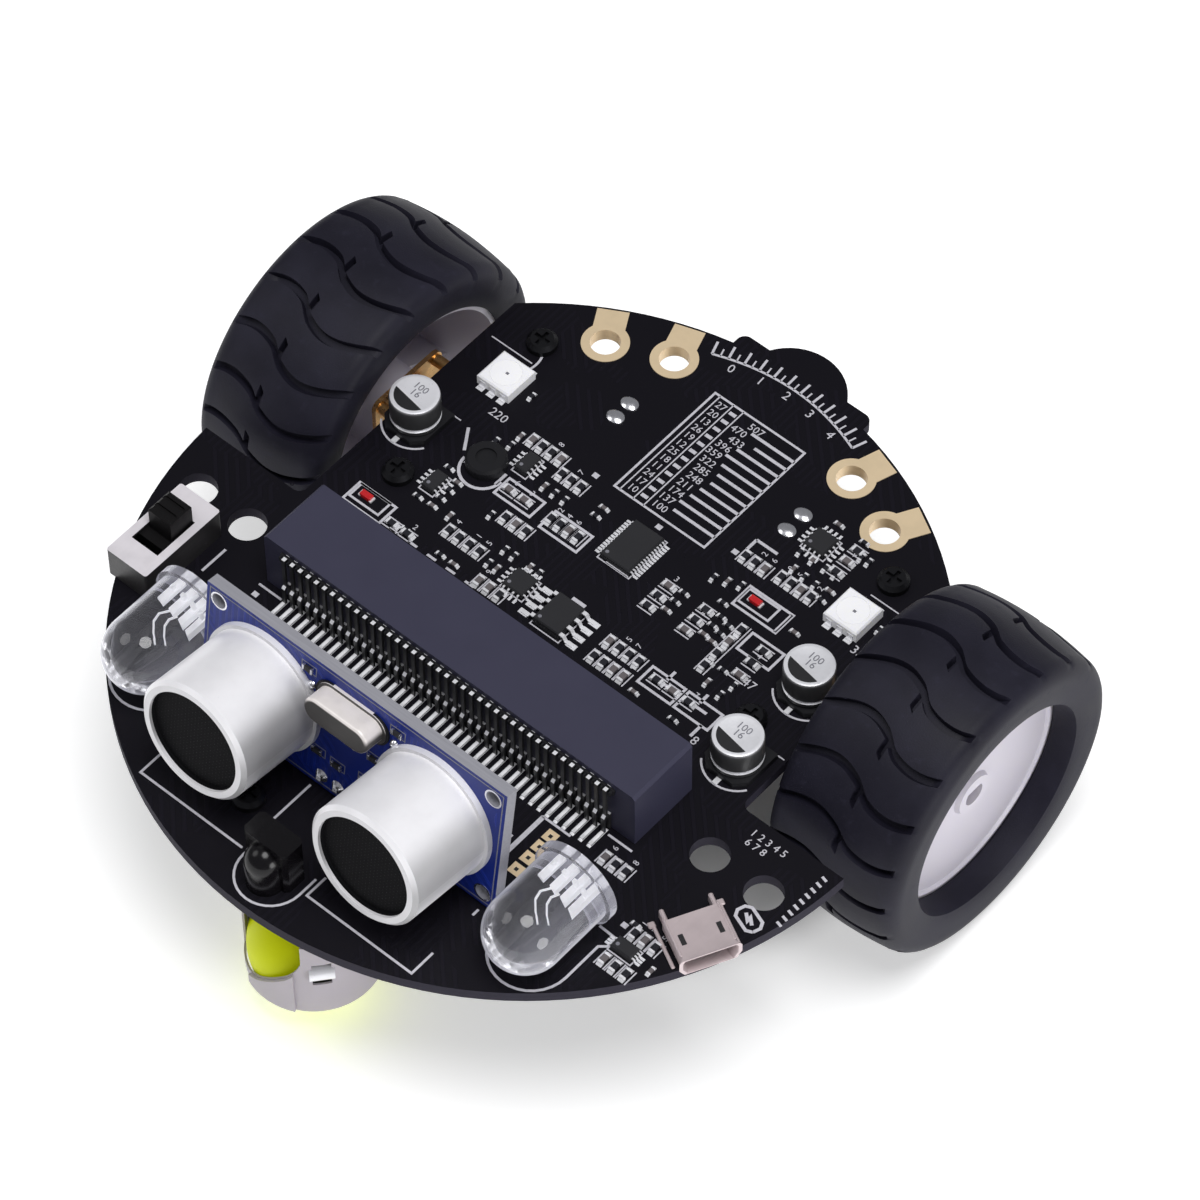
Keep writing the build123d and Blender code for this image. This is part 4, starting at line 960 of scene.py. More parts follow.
# --- node trees
class GrowTree(NodeGraph):
    """A Geometry Nodes tree with named inputs, ending in Realize Instances and Set Material."""

    def __init__(self, name: str) -> None:
        """Starts the tree with its geometry input and output.

        Args:
            name: the tree's name.
        """
        super().__init__(bpy.data.node_groups.new(name, "GeometryNodeTree"))
        self.identifiers: dict[str, str] = {}
        for way in ("INPUT", "OUTPUT"):
            self.tree.interface.new_socket("Geometry", in_out=way, socket_type="NodeSocketGeometry")
        self.entry = self.tree.nodes.new("NodeGroupInput")
        self.carrier = Value(self, self.entry.outputs["Geometry"])

    def ask(self, name: str, kind: str = "Float") -> Value:
        """Adds a named input to the tree.

        Args:
            name: the input's name.
            kind: its type, such as Float, Int, Object or Material.

        Returns:
            The input's socket.
        """
        socket = self.tree.interface.new_socket(name, in_out="INPUT", socket_type=f"NodeSocket{kind}")
        self.identifiers[name] = socket.identifier
        return Value(self, self.entry.outputs[name])

    def part_asked(self) -> Value:
        """Asks for the part that is repeated."""
        return self.node("GeometryNodeObjectInfo", {"transform_space": "ORIGINAL"},
                         {"Object": self.ask("Part", "Object")}, "Geometry")

    def attribute(self, name: str) -> Value:
        """Reads a vector that the carrier's points hold."""
        return self.node("GeometryNodeInputNamedAttribute", {"data_type": "FLOAT_VECTOR"}, {"Name": name})

    def xyz(self, **parts: "Value | float") -> Value:
        """A vector from its parts."""
        return self.node("ShaderNodeCombineXYZ", {}, parts)

    def row(self, count: Value, start: Value, offset: Value, mode: str = "OFFSET") -> Value:
        """A row of points: the offset is its step, or its end in the mode END_POINTS."""
        return self.node("GeometryNodeMeshLine", {"mode": mode},
                         {"Count": count, "Start Location": start, "Offset": offset})

    def place(self, points: Value, part: Value, turn: Value | None = None,
              stretch: Value | None = None) -> Value:
        """Stands a part on each point.

        Args:
            points: the points.
            part: the part's geometry.
            turn: how it is turned, as angles about X, Y and Z.
            stretch: how it is scaled along X, Y and Z.

        Returns:
            The instances.
        """
        inputs: Sockets = {"Points": points, "Instance": part}
        if turn is not None:
            inputs["Rotation"] = self.node("FunctionNodeEulerToRotation", {}, {0: turn})
        if stretch is not None:
            inputs["Scale"] = stretch
        return self.node("GeometryNodeInstanceOnPoints", {}, inputs)

    def end(self, geometry: Value, weld: float = 0.0) -> "GrowTree":
        """Ends the tree.

        Args:
            geometry: what it has made.
            weld: how near to each other points are joined, in metres.

        Returns:
            The tree.
        """
        made = self.node("GeometryNodeRealizeInstances", {}, {"Geometry": geometry})
        if weld:
            made = self.node("GeometryNodeMergeByDistance", {}, {"Geometry": made, "Distance": weld})
        made = self.node("GeometryNodeSetMaterial", {},
                         {"Geometry": made, "Material": self.ask("Finish", "Material")})
        self.node("NodeGroupOutput", {}, {"Geometry": made}, None)
        return self

    def grow(self, name: str, finish: Finish, sizes: dict[str, object],
             carrier: Mesh | None = None) -> Mesh:
        """Runs the tree.

        Args:
            name: the mesh's name.
            finish: the finish that it ends with.
            sizes: values for the named inputs.
            carrier: the mesh that it starts from, if it needs one.

        Returns:
            A plain mesh, in metres.
        """
        host = bpy.data.objects.new(name, carrier or bpy.data.meshes.new(name))
        bpy.context.scene.collection.objects.link(host)
        modifier = host.modifiers.new("grow", "NODES")
        modifier.node_group = self.tree
        for label, value in {**sizes, "Finish": finish.material()}.items():
            modifier[self.identifiers[label]] = value
        graph = bpy.context.evaluated_depsgraph_get()
        made = bpy.data.meshes.new_from_object(host.evaluated_get(graph), depsgraph=graph)
        host.modifiers.remove(modifier)
        bpy.data.objects.remove(host)
        made.shade_smooth()
        made.set_sharp_from_angle(angle=radians(35))
        return made


@dataclass(frozen=True)
class Spot:
    """Where one repeated part stands: its place, its turn about Z in degrees and its stretch."""

    place: Vector
    turn: float = 0.0
    stretch: tuple[float, float, float] = (1.0, 1.0, 1.0)


class Growers:
    """The Geometry Nodes trees, each built once."""

    def __init__(self) -> None:
        """Builds the trees."""
        self.on_spots = self._on_spots()
        self.in_row = self._in_row()
        self.round_axle = self._round_axle()
        self.woven = self._woven()
        self.scattered = self._scattered()

    @staticmethod
    def _on_spots() -> GrowTree:
        """One part on each point of a carrier, turned and stretched as the point says."""
        tree = GrowTree("parts_on_spots")
        return tree.end(tree.place(tree.carrier, tree.part_asked(), tree.attribute("turn"),
                                   tree.attribute("stretch")))

    @staticmethod
    def _in_row() -> GrowTree:
        """Parts in a straight row along X.

        Returns:
            The tree, which asks for Pitch, Start, Count and Part.
        """
        tree = GrowTree("parts_in_row")
        step, start = tree.xyz(X=tree.ask("Pitch")), tree.xyz(X=tree.ask("Start"))
        return tree.end(tree.place(tree.row(tree.ask("Count", "Int"), start, step), tree.part_asked()))

    @staticmethod
    def _round_axle() -> GrowTree:
        """One sector of a wheel repeated about X and welded into a ring.

        Returns:
            The tree, which asks for Count and Part.
        """
        tree = GrowTree("sectors_round_axle")
        count = tree.ask("Count", "Int")
        turn = tree.xyz(X=tree.node("GeometryNodeInputIndex") * (2 * pi) / count)
        points = tree.row(count, tree.xyz(), tree.xyz())
        return tree.end(tree.place(points, tree.part_asked(), turn), weld=0.01 * MM)

    @staticmethod
    def _woven() -> GrowTree:
        """A round of plain-woven wire: each wire rises over its neighbours in turn.

        Returns:
            The tree, which asks for Pitch, Radius, Wire and Wires.
        """
        tree = GrowTree("woven_round")
        pitch, radius, wire = tree.ask("Pitch"), tree.ask("Radius"), tree.ask("Wire")
        steps, place = tree.ask("Wires", "Int"), tree.node("GeometryNodeInputPosition")
        half = radius + pitch
        line = tree.row(steps * 4.0 + 1.0, tree.xyz(X=half * -1.0), tree.xyz(X=half), "END_POINTS")
        rise = tree.xyz(Z=(tree.part("X", place) * pi / pitch).math("COSINE") * wire)
        line = tree.node("GeometryNodeSetPosition", {}, {"Geometry": line, "Offset": rise})
        rows = tree.row(steps + 1.0, tree.xyz(Y=half * -1.0), tree.xyz(Y=half), "END_POINTS")
        flip = 1 - tree.node("GeometryNodeInputIndex").math("MODULO", 2.0) * 2.0
        warp = tree.place(rows, line, stretch=tree.xyz(X=1.0, Y=1.0, Z=flip))
        weft = tree.node("GeometryNodeTransform", {}, {"Geometry": warp, "Rotation": (0, 0, pi / 2),
                                                       "Scale": (1.0, 1.0, -1.0)})
        both = tree.node("GeometryNodeJoinGeometry", {}, {0: weft})
        tree.tree.links.new(warp.socket, both.socket.node.inputs[0])
        wires = tree.node("GeometryNodeRealizeInstances", {}, {"Geometry": both})
        reach = tree.vector("LENGTH", tree.vector("MULTIPLY", place, (1.0, 1.0, 0.0)), output="Value")
        wires = tree.node("GeometryNodeDeleteGeometry", {"domain": "POINT"},
                          {"Geometry": wires, "Selection": reach > radius})
        section = tree.node("GeometryNodeCurvePrimitiveCircle", {}, {"Resolution": 5, "Radius": wire})
        lines = tree.node("GeometryNodeMeshToCurve", {}, {0: wires})
        return tree.end(tree.node("GeometryNodeCurveToMesh", {}, {"Curve": lines, "Profile Curve": section,
                                                                  "Fill Caps": True}))

    @staticmethod
    def _scattered() -> GrowTree:
        """Parts scattered over a carrier's faces, none nearer to another than a distance.

        Returns:
            The tree, which asks for Distance, Density, Seed and Part.
        """
        tree = GrowTree("parts_scattered")
        points = tree.node("GeometryNodeDistributePointsOnFaces", {"distribute_method": "POISSON"},
                           {"Mesh": tree.carrier, "Distance Min": tree.ask("Distance"),
                            "Density Max": tree.ask("Density"), "Seed": tree.ask("Seed", "Int")})
        return tree.end(tree.place(points, tree.part_asked()))

    def repeat(self, name: str, part: Shape, spots: Sequence[Spot], finish: Finish,
               slot: str | None = None) -> Object:
        """Makes one piece of the same part standing on many spots.

        Args:
            name: the piece's name.
            part: the part, on its own origin.
            spots: where it stands.
            finish: its finish.
            slot: the record's material slot, if it has one; not used.

        Returns:
            The piece.
        """
        carrier = bpy.data.meshes.new(name)
        carrier.from_pydata([spot.place * MM for spot in spots], [], [])
        for label, values in (("turn", [(0.0, 0.0, radians(spot.turn)) for spot in spots]),
                              ("stretch", [spot.stretch for spot in spots])):
            held = carrier.attributes.new(label, "FLOAT_VECTOR", "POINT")
            held.data.foreach_set("vector", [number for value in values for number in value])
        return fit(name, self.run(self.on_spots, name, part, finish, {}, carrier), finish)

    @staticmethod
    def run(tree: GrowTree, name: str, part: Shape, finish: Finish, sizes: dict[str, object],
            carrier: Mesh | None = None) -> Mesh:
        """Runs a tree that repeats a part.

        Args:
            tree: the tree.
            name: the mesh's name.
            part: the part that it repeats.
            finish: the finish that it ends with.
            sizes: values for its other named inputs.
            carrier: the mesh that it starts from, if it needs one.

        Returns:
            A plain mesh, in metres.
        """
        sample = bpy.data.objects.new(f"{name}_sample", part.data(f"{name}_sample"))
        made = tree.grow(name, finish, {**sizes, "Part": sample}, carrier)
        bpy.data.objects.remove(sample)
        return made


# --- sub-assemblies
@dataclass
class SubAssembly:
    """A group of pieces placed from the same levels and lines."""

    datum: Datum
    growers: Growers

    def build(self) -> None:
        """Builds the pieces and dresses them."""
        raise NotImplementedError


@dataclass
class Legend(SubAssembly):
    """The printing on the main board: outlines, the pin table, part marks and a plain scale.

    Frames are given as (right, ahead, across, along), bars by their two ends after their width, ticks as
    (right, ahead, across, along, step right, step ahead, count) and figures as (text, right, ahead, height).
    """

    film: float = 0.03
    fine: float = 0.17
    stroke: float = 0.3
    group_stroke: float = 0.34
    eye_corners: tuple[tuple[Flat, ...], ...] = (
        ((-21.0, 60.7), (-21.0, 64.3), (-5.0, 64.3)), ((-5.0, 63.0), (-5.0, 52.8)),
        ((5.0, 61.1), (5.0, 64.3), (21.0, 64.3), (21.0, 60.7)))
    receiver: Flat = (0.0, 64.8)
    receiver_radius: float = 4.3
    receiver_ends: Flat = (62.0, 63.0)
    table_left: float = -6.8
    table_right: float = 7.2
    table_front: float = -2.5
    table_rear: float = -21.0
    table_columns: tuple[float, ...] = (0.8, 2.9, 4.5)
    table_pin: float = 1.85
    table_dash: Flat = (3.2, 4.2)
    table_label: float = 4.8
    label_ends: tuple[float, ...] = (3.2, 0.2, 1.9, 0.4, -0.1, 0.5, 1.1, 1.3, 0.9, 0.6, 0.2, 0.5)
    charge_place: Flat = (45.0, 34.0)
    charge_turn: float = 20.0
    charge_half: Flat = (1.75, 1.1)
    charge_corner: float = 0.6
    charge_jag: tuple[Flat, ...] = ((-0.9, -0.15), (0.1, 0.25), (-0.1, -0.25), (0.9, 0.15))
    scale_ahead: float = -25.3
    scale_half: float = 11.0
    scale_bow: float = 2.2
    scale_parts: int = 22
    lamp_side: float = 29.4
    lamp_tip_ahead: float = 53.4
    lamp_clear: float = 5.1
    lamp_start: tuple[Flat, ...] = ((3.4, 45.7), (5.8, 45.8), (5.9, 47.2), (5.1, 47.9))
    lamp_end: Flat = (-5.1, 49.6)
    frames: tuple[tuple[float, ...], ...] = (
        (-14.2, 6.2, 5.6, 2.8), (-6.7, 6.4, 5.8, 3.0), (22.0, 4.7, 4.8, 2.9), (16.4, 15.9, 5.0, 2.8),
        (22.0, 15.9, 5.1, 2.8), (18.3, -0.1, 6.6, 3.3), (-27.2, 18.4, 5.8, 3.1))
    bars: tuple[tuple[float, tuple[tuple[float, ...], ...]], ...] = (
        (0.3, ((-25.4, 35.7, -29.0, 35.7), (25.4, 35.7, 29.0, 35.7), (18.0, 38.7, 22.3, 38.7),
               (19.7, 51.5, 21.0, 51.5), (21.0, 53.0, 21.0, 54.0))),
        (0.34, ((-35.4, 34.6, -35.4, 38.7),)),
        (0.4, ((-0.2, 6.6, 3.2, 6.6), (-25.8, 2.3, -23.9, 5.2), (16.4, 13.4, 16.4, 14.9),
               (21.4, 13.4, 21.4, 14.9), (15.3, 15.6, 17.6, 15.6), (20.6, 15.6, 23.0, 15.6),
               (21.4, -1.7, 21.4, 1.5), (11.2, -7.4, 14.4, -7.4), (11.2, -7.4, 11.2, -5.6),
               (23.6, 17.2, 23.6, 19.2), (-22.6, 4.6, -22.6, 6.6), (-17.7, 4.6, -17.7, 6.6))),
        (0.6, ((18.2, 46.5, 18.2, 38.7),)), (0.9, ((0.3, 13.4, 2.3, 13.4),)))
    ticks: tuple[tuple[float, float, float, float, float, float, int], ...] = (
        (47.6, 24.2, 0.8, 0.2, 0.0, 1.0, 9), (-22.9, 19.6, 1.4, 0.0, 3.0, 0.0, 5))
    dash_half: float = 0.4
    dash_width: float = 0.7
    dashes: tuple[Flat, ...] = (
        (-30.8, 38.3), (-29.3, 38.3), (-28.3, 37.1), (-27.9, 38.3), (16.9, 43.2), (17.0, 45.6), (34.9, 43.8),
        (10.4, -4.4), (1.2, -1.3), (-9.5, -2.2))
    figures: tuple[tuple[str, float, float, float], ...] = (
        ("1 2 3 4 5", 40.1, 24.7, 1.02), ("6 7 8", 39.3, 26.1, 1.02), ("220", -24.3, -1.4, 1.25),
        ("47", 24.0, 9.2, 1.25), ("33", 30.6, -2.6, 1.25), ("8", 24.4, 19.4, 1.25))

    def __post_init__(self) -> None:
        """Starts the printed sheet."""
        self.sheet = Shape()

    def stroke_line(self, points: Sequence[Point], width: float | None = None, closed: bool = False) -> None:
        """Prints a line through places on the board, given as (right, ahead)."""
        path = [(right, self.datum.axle_y - ahead) for right, ahead in points]
        self.sheet.line(path, width or self.stroke, self.film, self.datum.top, closed)

    def frame_of(self, right: float, ahead: float, across: float, along: float,
                 width: float | None = None) -> None:
        """Prints a rectangle round a place."""
        self.stroke_line(rectangle(across / 2, along / 2, (right, ahead)), width, True)

    def number(self, text: str, right: float, ahead: float, tall: float, turn: float = 0.0) -> None:
        """Prints figures round their middle, with a height in millimetres and a turn in degrees."""
        seat = self.datum.seat(right, ahead, self.film / 2) @ turned(turn) @ scaled(tall, tall, 1.0)
        self.sheet.add(Lettering.figures(text), seat)

    def eyes(self) -> None:
        """Prints the corners in front of the ranging module and the ring round the receiver."""
        for corner in self.eye_corners:
            self.stroke_line(corner)
        radius, (start, stop) = self.receiver_radius, self.receiver_ends
        self.stroke_line([(radius, start), *arc(self.receiver, radius, 0, 180), (-radius, stop)])

    def lamps(self) -> None:
        """Prints the outline round the end of each lamp."""
        path = [*self.lamp_start, *arc((0.0, self.lamp_tip_ahead), self.lamp_clear, 0, 180), self.lamp_end]
        for side in (-1, 1):
            self.stroke_line([(side * self.lamp_side + side * x, ahead) for x, ahead in path], 0.32)

    def pin_table(self) -> None:
        """Prints the table of the connector's pins: figures on the left, ruled bars on the right."""
        left, right = self.table_left, self.table_right
        front, rear = self.table_front, self.table_rear
        self.frame_of((left + right) / 2, (front + rear) / 2, right - left, front - rear)
        for x in self.table_columns:
            self.stroke_line([(left + x, front), (left + x, rear)], self.fine)
        pitch = (front - rear) / (len(self.label_ends) + 0.6)
        for row, end in enumerate(reversed(self.label_ends)):
            ahead = front - pitch * (row + 0.8)
            self.number(str(10 + (row * 7) % 20), left + self.table_pin, ahead, 1.0)
            self.stroke_line([(left + x, ahead) for x in self.table_dash], 0.5)
            self.number(str(row * 37 + 100), (left + self.table_label + end) / 2, ahead, 1.05)
            if row < len(self.label_ends) - 1:
                self.stroke_line([(end + 0.3, ahead - pitch / 2), (right, ahead - pitch / 2)], 0.42)

    def tail_scale(self) -> None:
        """Prints a plain bowed scale with ticks and figures at the tail."""
        half, count = self.scale_half, self.scale_parts
        shares = [2 * k / count - 1 for k in range(count + 1)]
        places = [(share * half, self.scale_ahead - self.scale_bow * (1 - share * share)) for share in shares]
        self.stroke_line(places)
        for k, (right, ahead) in enumerate(places):
            tall, width = (1.1, 0.2) if k % 2 else (1.9, 0.32)
            lean = right / half * 0.35
            self.stroke_line([(right, ahead), (right + lean * tall, ahead - tall)], width)
            if k % 4 == 3:
                self.number(str(k // 4), right - lean, ahead + 1.3, 1.3, degrees(-lean) * 0.6)

    def charge_sign(self) -> None:
        """Prints the sign for charging: a jagged stroke in a round-cornered frame."""
        (right, ahead), turn = self.charge_place, radians(self.charge_turn)
        (long, wide), cut = self.charge_half, self.charge_corner
        frame = [(long, wide - cut), (long - cut, wide), (cut - long, wide), (-long, wide - cut),
                 (-long, cut - wide), (cut - long, -wide), (long - cut, -wide), (long, cut - wide)]
        for points, width in (([*frame, frame[0]], 0.4), (self.charge_jag, 0.42)):
            self.stroke_line([(right + x * cos(turn) - y * sin(turn), ahead + x * sin(turn) + y * cos(turn))
                              for x, y in points], width)

    def marks(self) -> None:
        """Prints the loose frames, bars, dashes, ticks and figures."""
        for frame in self.frames:
            self.frame_of(*frame, self.group_stroke)
        for width, bars in self.bars:
            for right, ahead, end_right, end_ahead in bars:
                self.stroke_line([(right, ahead), (end_right, end_ahead)], width)
        for right, ahead in self.dashes:
            self.stroke_line([(right - self.dash_half, ahead), (right + self.dash_half, ahead)], self.dash_width)
        for right, ahead, across, along, step_right, step_ahead, count in self.ticks:
            for x, y in ((right + k * step_right, ahead + k * step_ahead) for k in range(count)):
                self.stroke_line([(x, y), (x + across, y + along)], self.group_stroke)
        for side in (-1, 1):
            self.stroke_line(arc((side * 29.6, -10.2), 3.6, -35, 35))
            self.stroke_line([(side * 26.5, -10.0), (side * 33.0, -10.0)], self.fine)
        for figure in self.figures:
            self.number(*figure)

    def part_marks(self) -> None:
        """Prints the marks beside the parts: brackets, frames, arcs and small figures."""
        for k, (box, right, ahead) in enumerate(self.datum.each("chip_parts")):
            lying = box.size.x > box.size.y
            x, y = box.size.x / 2 + (0.3 if lying else 0.28), box.size.y / 2 + 0.28
            for end in (-1, 1):
                ends = ((-1, end), (1, end)) if lying else ((end, -1), (end, 1))
                self.stroke_line([(right + a * x, ahead + b * y) for a, b in ends], self.fine)
            if k % 2:
                self.number(str(k % 9 + 1), right, ahead - y - 0.75, 0.8, 0 if lying else 90)
        for box, right, ahead in self.datum.each("ic_packages"):
            self.frame_of(right, ahead, box.size.x + 0.5, box.size.y + 0.5, self.fine)
        for box, right, ahead in self.datum.each("indicator_leds"):
            self.frame_of(right + 0.5, ahead, 4.6, 2.2)
        for box, right, ahead in self.datum.each("microphone"):
            self.stroke_line(arc((right + 0.2, ahead + 0.9), box.size.x / 2 + 0.3, 0, 180), 0.4)
        for box, right, ahead in self.datum.each("capacitor_bases"):
            self.stroke_line(arc((right, ahead), box.size.x / 2 + 0.9, 35, 145), 0.26)
            self.stroke_line([(right - 4.0, ahead - 3.6), (right + 4.0, ahead - 3.6)], self.fine)

    def build(self) -> None:
        """Prints everything as one piece."""
        for part in (self.eyes, self.lamps, self.pin_table, self.tail_scale, self.charge_sign, self.marks,
                     self.part_marks):
            part()
        self.sheet.piece("board_legend", Finishes.ink, crease=30)


@dataclass
class SurfaceParts(SubAssembly):
    """The small parts soldered to the main board, with their ends, legs, pads and solder.

    Rows of fine chips are given as (right, ahead, step right, step ahead, count, turn). A can's foot and rim
    are its insets, with heights above its base and drops below its top.
    """

    end_length: float = 0.38
    end_edge: float = 0.05
    core_inset: float = 0.03
    solder_run: float = 0.28
    leg_width: float = 0.22
    leg_reach: float = 0.75
    leg_thick: float = 0.06
    leg_course: tuple[Flat, ...] = ((-0.1, 0.5), (0.22, 0.5), (0.34, 0.12))
    leg_pitch: float = 0.65
    wide_pitch: float = 1.25
    fine_pitch: float = 0.46
    fine_run: float = 5.5
    wide_deep: float = 3.5
    blob_places: tuple[Flat, ...] = ((-13.5, -13.0), (-13.5, -10.4), (13.0, -13.8), (13.0, -10.8))
    blob: tuple[Flat, ...] = ((1.25, 0.0), (1.2, 0.16), (0.9, 0.34), (0.45, 0.44), (0, 0.46))
    via_seed: int = 7
    via_radius: float = 0.28
    via_hole: float = 0.13
    via_gap: float = 1.7
    via_density: float = 260000.0
    via_areas: tuple[tuple[float, ...], ...] = (
        (-20, -3, 6, 4), (4, -0.5, 8, 3), (-5, 10.5, 12, 3), (8, 11.5, 10, 2), (-33, 44, 5, 4), (0, 59, 6, 4),
        (36, 34, 5, 4), (-36, 24, 5, 4))
    resin_radius: float = 1.96
    resin_lift: float = 0.22
    resin_depth: float = 0.3
    can_foot: tuple[Flat, ...] = ((0.25, 0), (0, 0.3), (0, 0.8), (0.28, 1.0), (0.28, 1.15), (0, 1.35))
    can_rim: tuple[Flat, ...] = ((0, 0.45), (0.13, 0.13), (0.45, 0.02), (0.6, 0.06))
    can_flat: float = 0.62
    can_figures: tuple[tuple[str, float], ...] = (("100", 1.15), ("16", 0.1))
    light_leg: tuple[Block, ...] = (
        ((0.9, 0.5, 0.2), (0, 0.15, 0.14), 0.05), ((1.0, 0.9, 0.05), (0, 0.3, 0.04), 0.0),
        ((0.9, 0.12, 0.9), (0, 0.02, 0.5), 0.03))
    light_leg_pitch: float = 1.6
    fine_scale: float = 0.72
    fine_rows: tuple[tuple[float, float, float, float, int, float], ...] = (
        (-13, 3.1, 1.6, 0, 3, 90), (-5.5, 0.9, 0, 1.5, 2, 0), (-21.9, 1.8, 0, 0, 1, 90),
        (-20.1, -0.7, 0, 1.8, 2, 90), (-15, 10.4, 1.5, 0, 1, 90), (-21.2, 9.4, 0, 1.5, 4, 0),
        (-23.4, 8.4, 0, 5.6, 2, 0), (-18.6, 13.7, 0, 0, 1, 90), (-10.3, 13.2, 1.4, 0, 2, 90),
        (-6.4, 13.2, 1.4, 0, 2, 90), (-10.5, 15.9, 1.3, 0, 2, 90), (-21.2, 18.6, 2.2, 0, 1, 0),
        (-15.6, 18.7, 2.1, 0, 2, 0), (9.8, 4.2, 0, 1.6, 3, 0), (15.4, 4, 0, 1.6, 3, 0), (16.8, 4.4, 0, 1.5, 3, 0),
        (18.5, 9.9, 2, -0.2, 2, 0), (20.2, 12.2, 2.3, 0.4, 2, 90), (22.9, 10.6, 0, 0, 1, 90),
        (14.6, 18.8, 6, 0, 2, 0), (11, 0.2, 1.6, -0.6, 3, 90), (14.2, 2.3, 0, 0, 1, 0), (23.3, 0.1, 0, 0, 1, 0),
        (-23.1, -6.1, 0, 0, 1, 90), (16.3, -9.3, 1.9, 0, 2, 90), (20.1, -9.4, 1.5, 0, 2, 90),
        (17.3, -6.9, 1.7, 0.1, 3, 90), (22.6, -7.2, 0, 1.7, 2, 0), (30.6, -6.6, 0, 0, 1, 90),
        (17.2, -15.4, 4, 0.1, 2, 0), (35.9, 43, 2.8, 0, 1, 0), (41.2, 46.6, 0, 0, 1, 90),
        (22.3, -13.4, 1.1, 0, 2, 90))
    pad_right: float = 20.6
    pad_places: tuple[float, ...] = (40.2, 42.1, 44.05, 46.1)
    pad_half: float = 0.78
    pad_hole: float = 0.34

    def chips(self) -> None:
        """Rebuilds the chip parts with plated ends and solder, and replaces the frame's plain ones."""
        boxes = solids_of("chip_parts")
        size = boxes[0].size
        long, short, tall = max(size.x, size.y), min(size.x, size.y), size.z
        ends = Shape()
        for end in (-1, 1):
            ends.box((self.end_length, short, tall), (end * (long - self.end_length) / 2, 0, tall / 2),
                     self.end_edge)
            toe, heel = end * (long / 2 + self.solder_run), end * (long / 2 - 0.05)
            wedge = [(toe, 0.02), (heel, 0.02), (heel, tall * 0.62)]
            ends.prism(wedge[::end], 0.0, short, shift(0, short / 2, 0) @ turned(90, "X"))
        spots = [Spot(box.foot, 0 if box.size.x > box.size.y else 90) for box in boxes]
        fine = (self.fine_scale, self.fine_scale * 0.9, self.fine_scale)
        for right, ahead, step_right, step_ahead, count, turn in self.fine_rows:
            spots += [Spot(self.datum.at(right + k * step_right, ahead + k * step_ahead), turn, fine)
                      for k in range(count)]
        made = []
        for name, edge, group, finish in (
                ("chip_resistors", 0.04, spots[0::3] + spots[1::3], Finishes.resistor),
                ("chip_capacitors", 0.05, spots[2::3], Finishes.capacitor)):
            core = Shape().box((long - 1.2 * self.end_length, short - self.core_inset, tall - self.core_inset),
                               (0, 0, tall / 2), edge)
            made.append(self.growers.repeat(name, core, group, finish, "chip_ceramic"))
        self.growers.repeat("chip_ends", ends, spots, Finishes.tin)
        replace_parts(made[0], "chip_parts")

    def legs_of(self, box: Box, both_ways: bool) -> list[Spot]:
        """Where an IC's legs stand.

        Args:
            box: the package.
            both_ways: whether it has legs on all four sides.

        Returns:
            A spot for each leg, with its outer end along its own +X.
        """
        spots = []
        x, y = box.size.x, box.size.y
        for turn, deep, run in ((0, x, y), (180, x, y), (90, y, x), (270, y, x))[:4 if both_ways else 2]:
            wide = not both_ways and deep > self.wide_deep and run < self.wide_deep + 2
            pitch = self.wide_pitch if wide else self.leg_pitch if run < self.fine_run else self.fine_pitch
            count = max(3, int((run - 0.6) / pitch) + 1)
            pitch = (run - 0.8) / (count - 1)
            stretch = (2.7, 2.3, 1.8) if wide else (1.2, 1.0, 1.0)
            for k in range(count):
                offset = turned(turn) @ Vector((deep / 2, (k - (count - 1) / 2) * pitch, 0))
                spots.append(Spot(box.foot + offset, turn, stretch))
        return spots

    def packages(self) -> None:
        """Adds legs and first-pin dots to the packages."""
        spots, dots, leg = [], Shape(), Shape()
        for box in solids_of("ic_packages"):
            spots += self.legs_of(box, abs(box.size.x - box.size.y) < 0.3)
            seat = shift(box.low.x + 0.6, box.low.y + 0.6, box.high.z - 0.01)
            dots.lathe([(0, 0), (0.24, 0), (0.24, 0.03), (0, 0.03)], 16, seat)
        course = [*self.leg_course, (self.leg_reach, self.leg_course[-1][1])]
        outline = [(x, z - self.leg_thick) for x, z in course] + [(x, z + self.leg_thick) for x, z in course[::-1]]
        leg.prism(outline, 0.0, self.leg_width, shift(0, self.leg_width / 2, 0) @ turned(90, "X"))
        leg.box((0.5, self.leg_width + 0.12, 0.06), (self.leg_reach - 0.1, 0, 0.05))
        self.growers.repeat("package_legs", leg, spots, Finishes.tin)
        dots.piece("package_dots", Finishes.grey_ink)

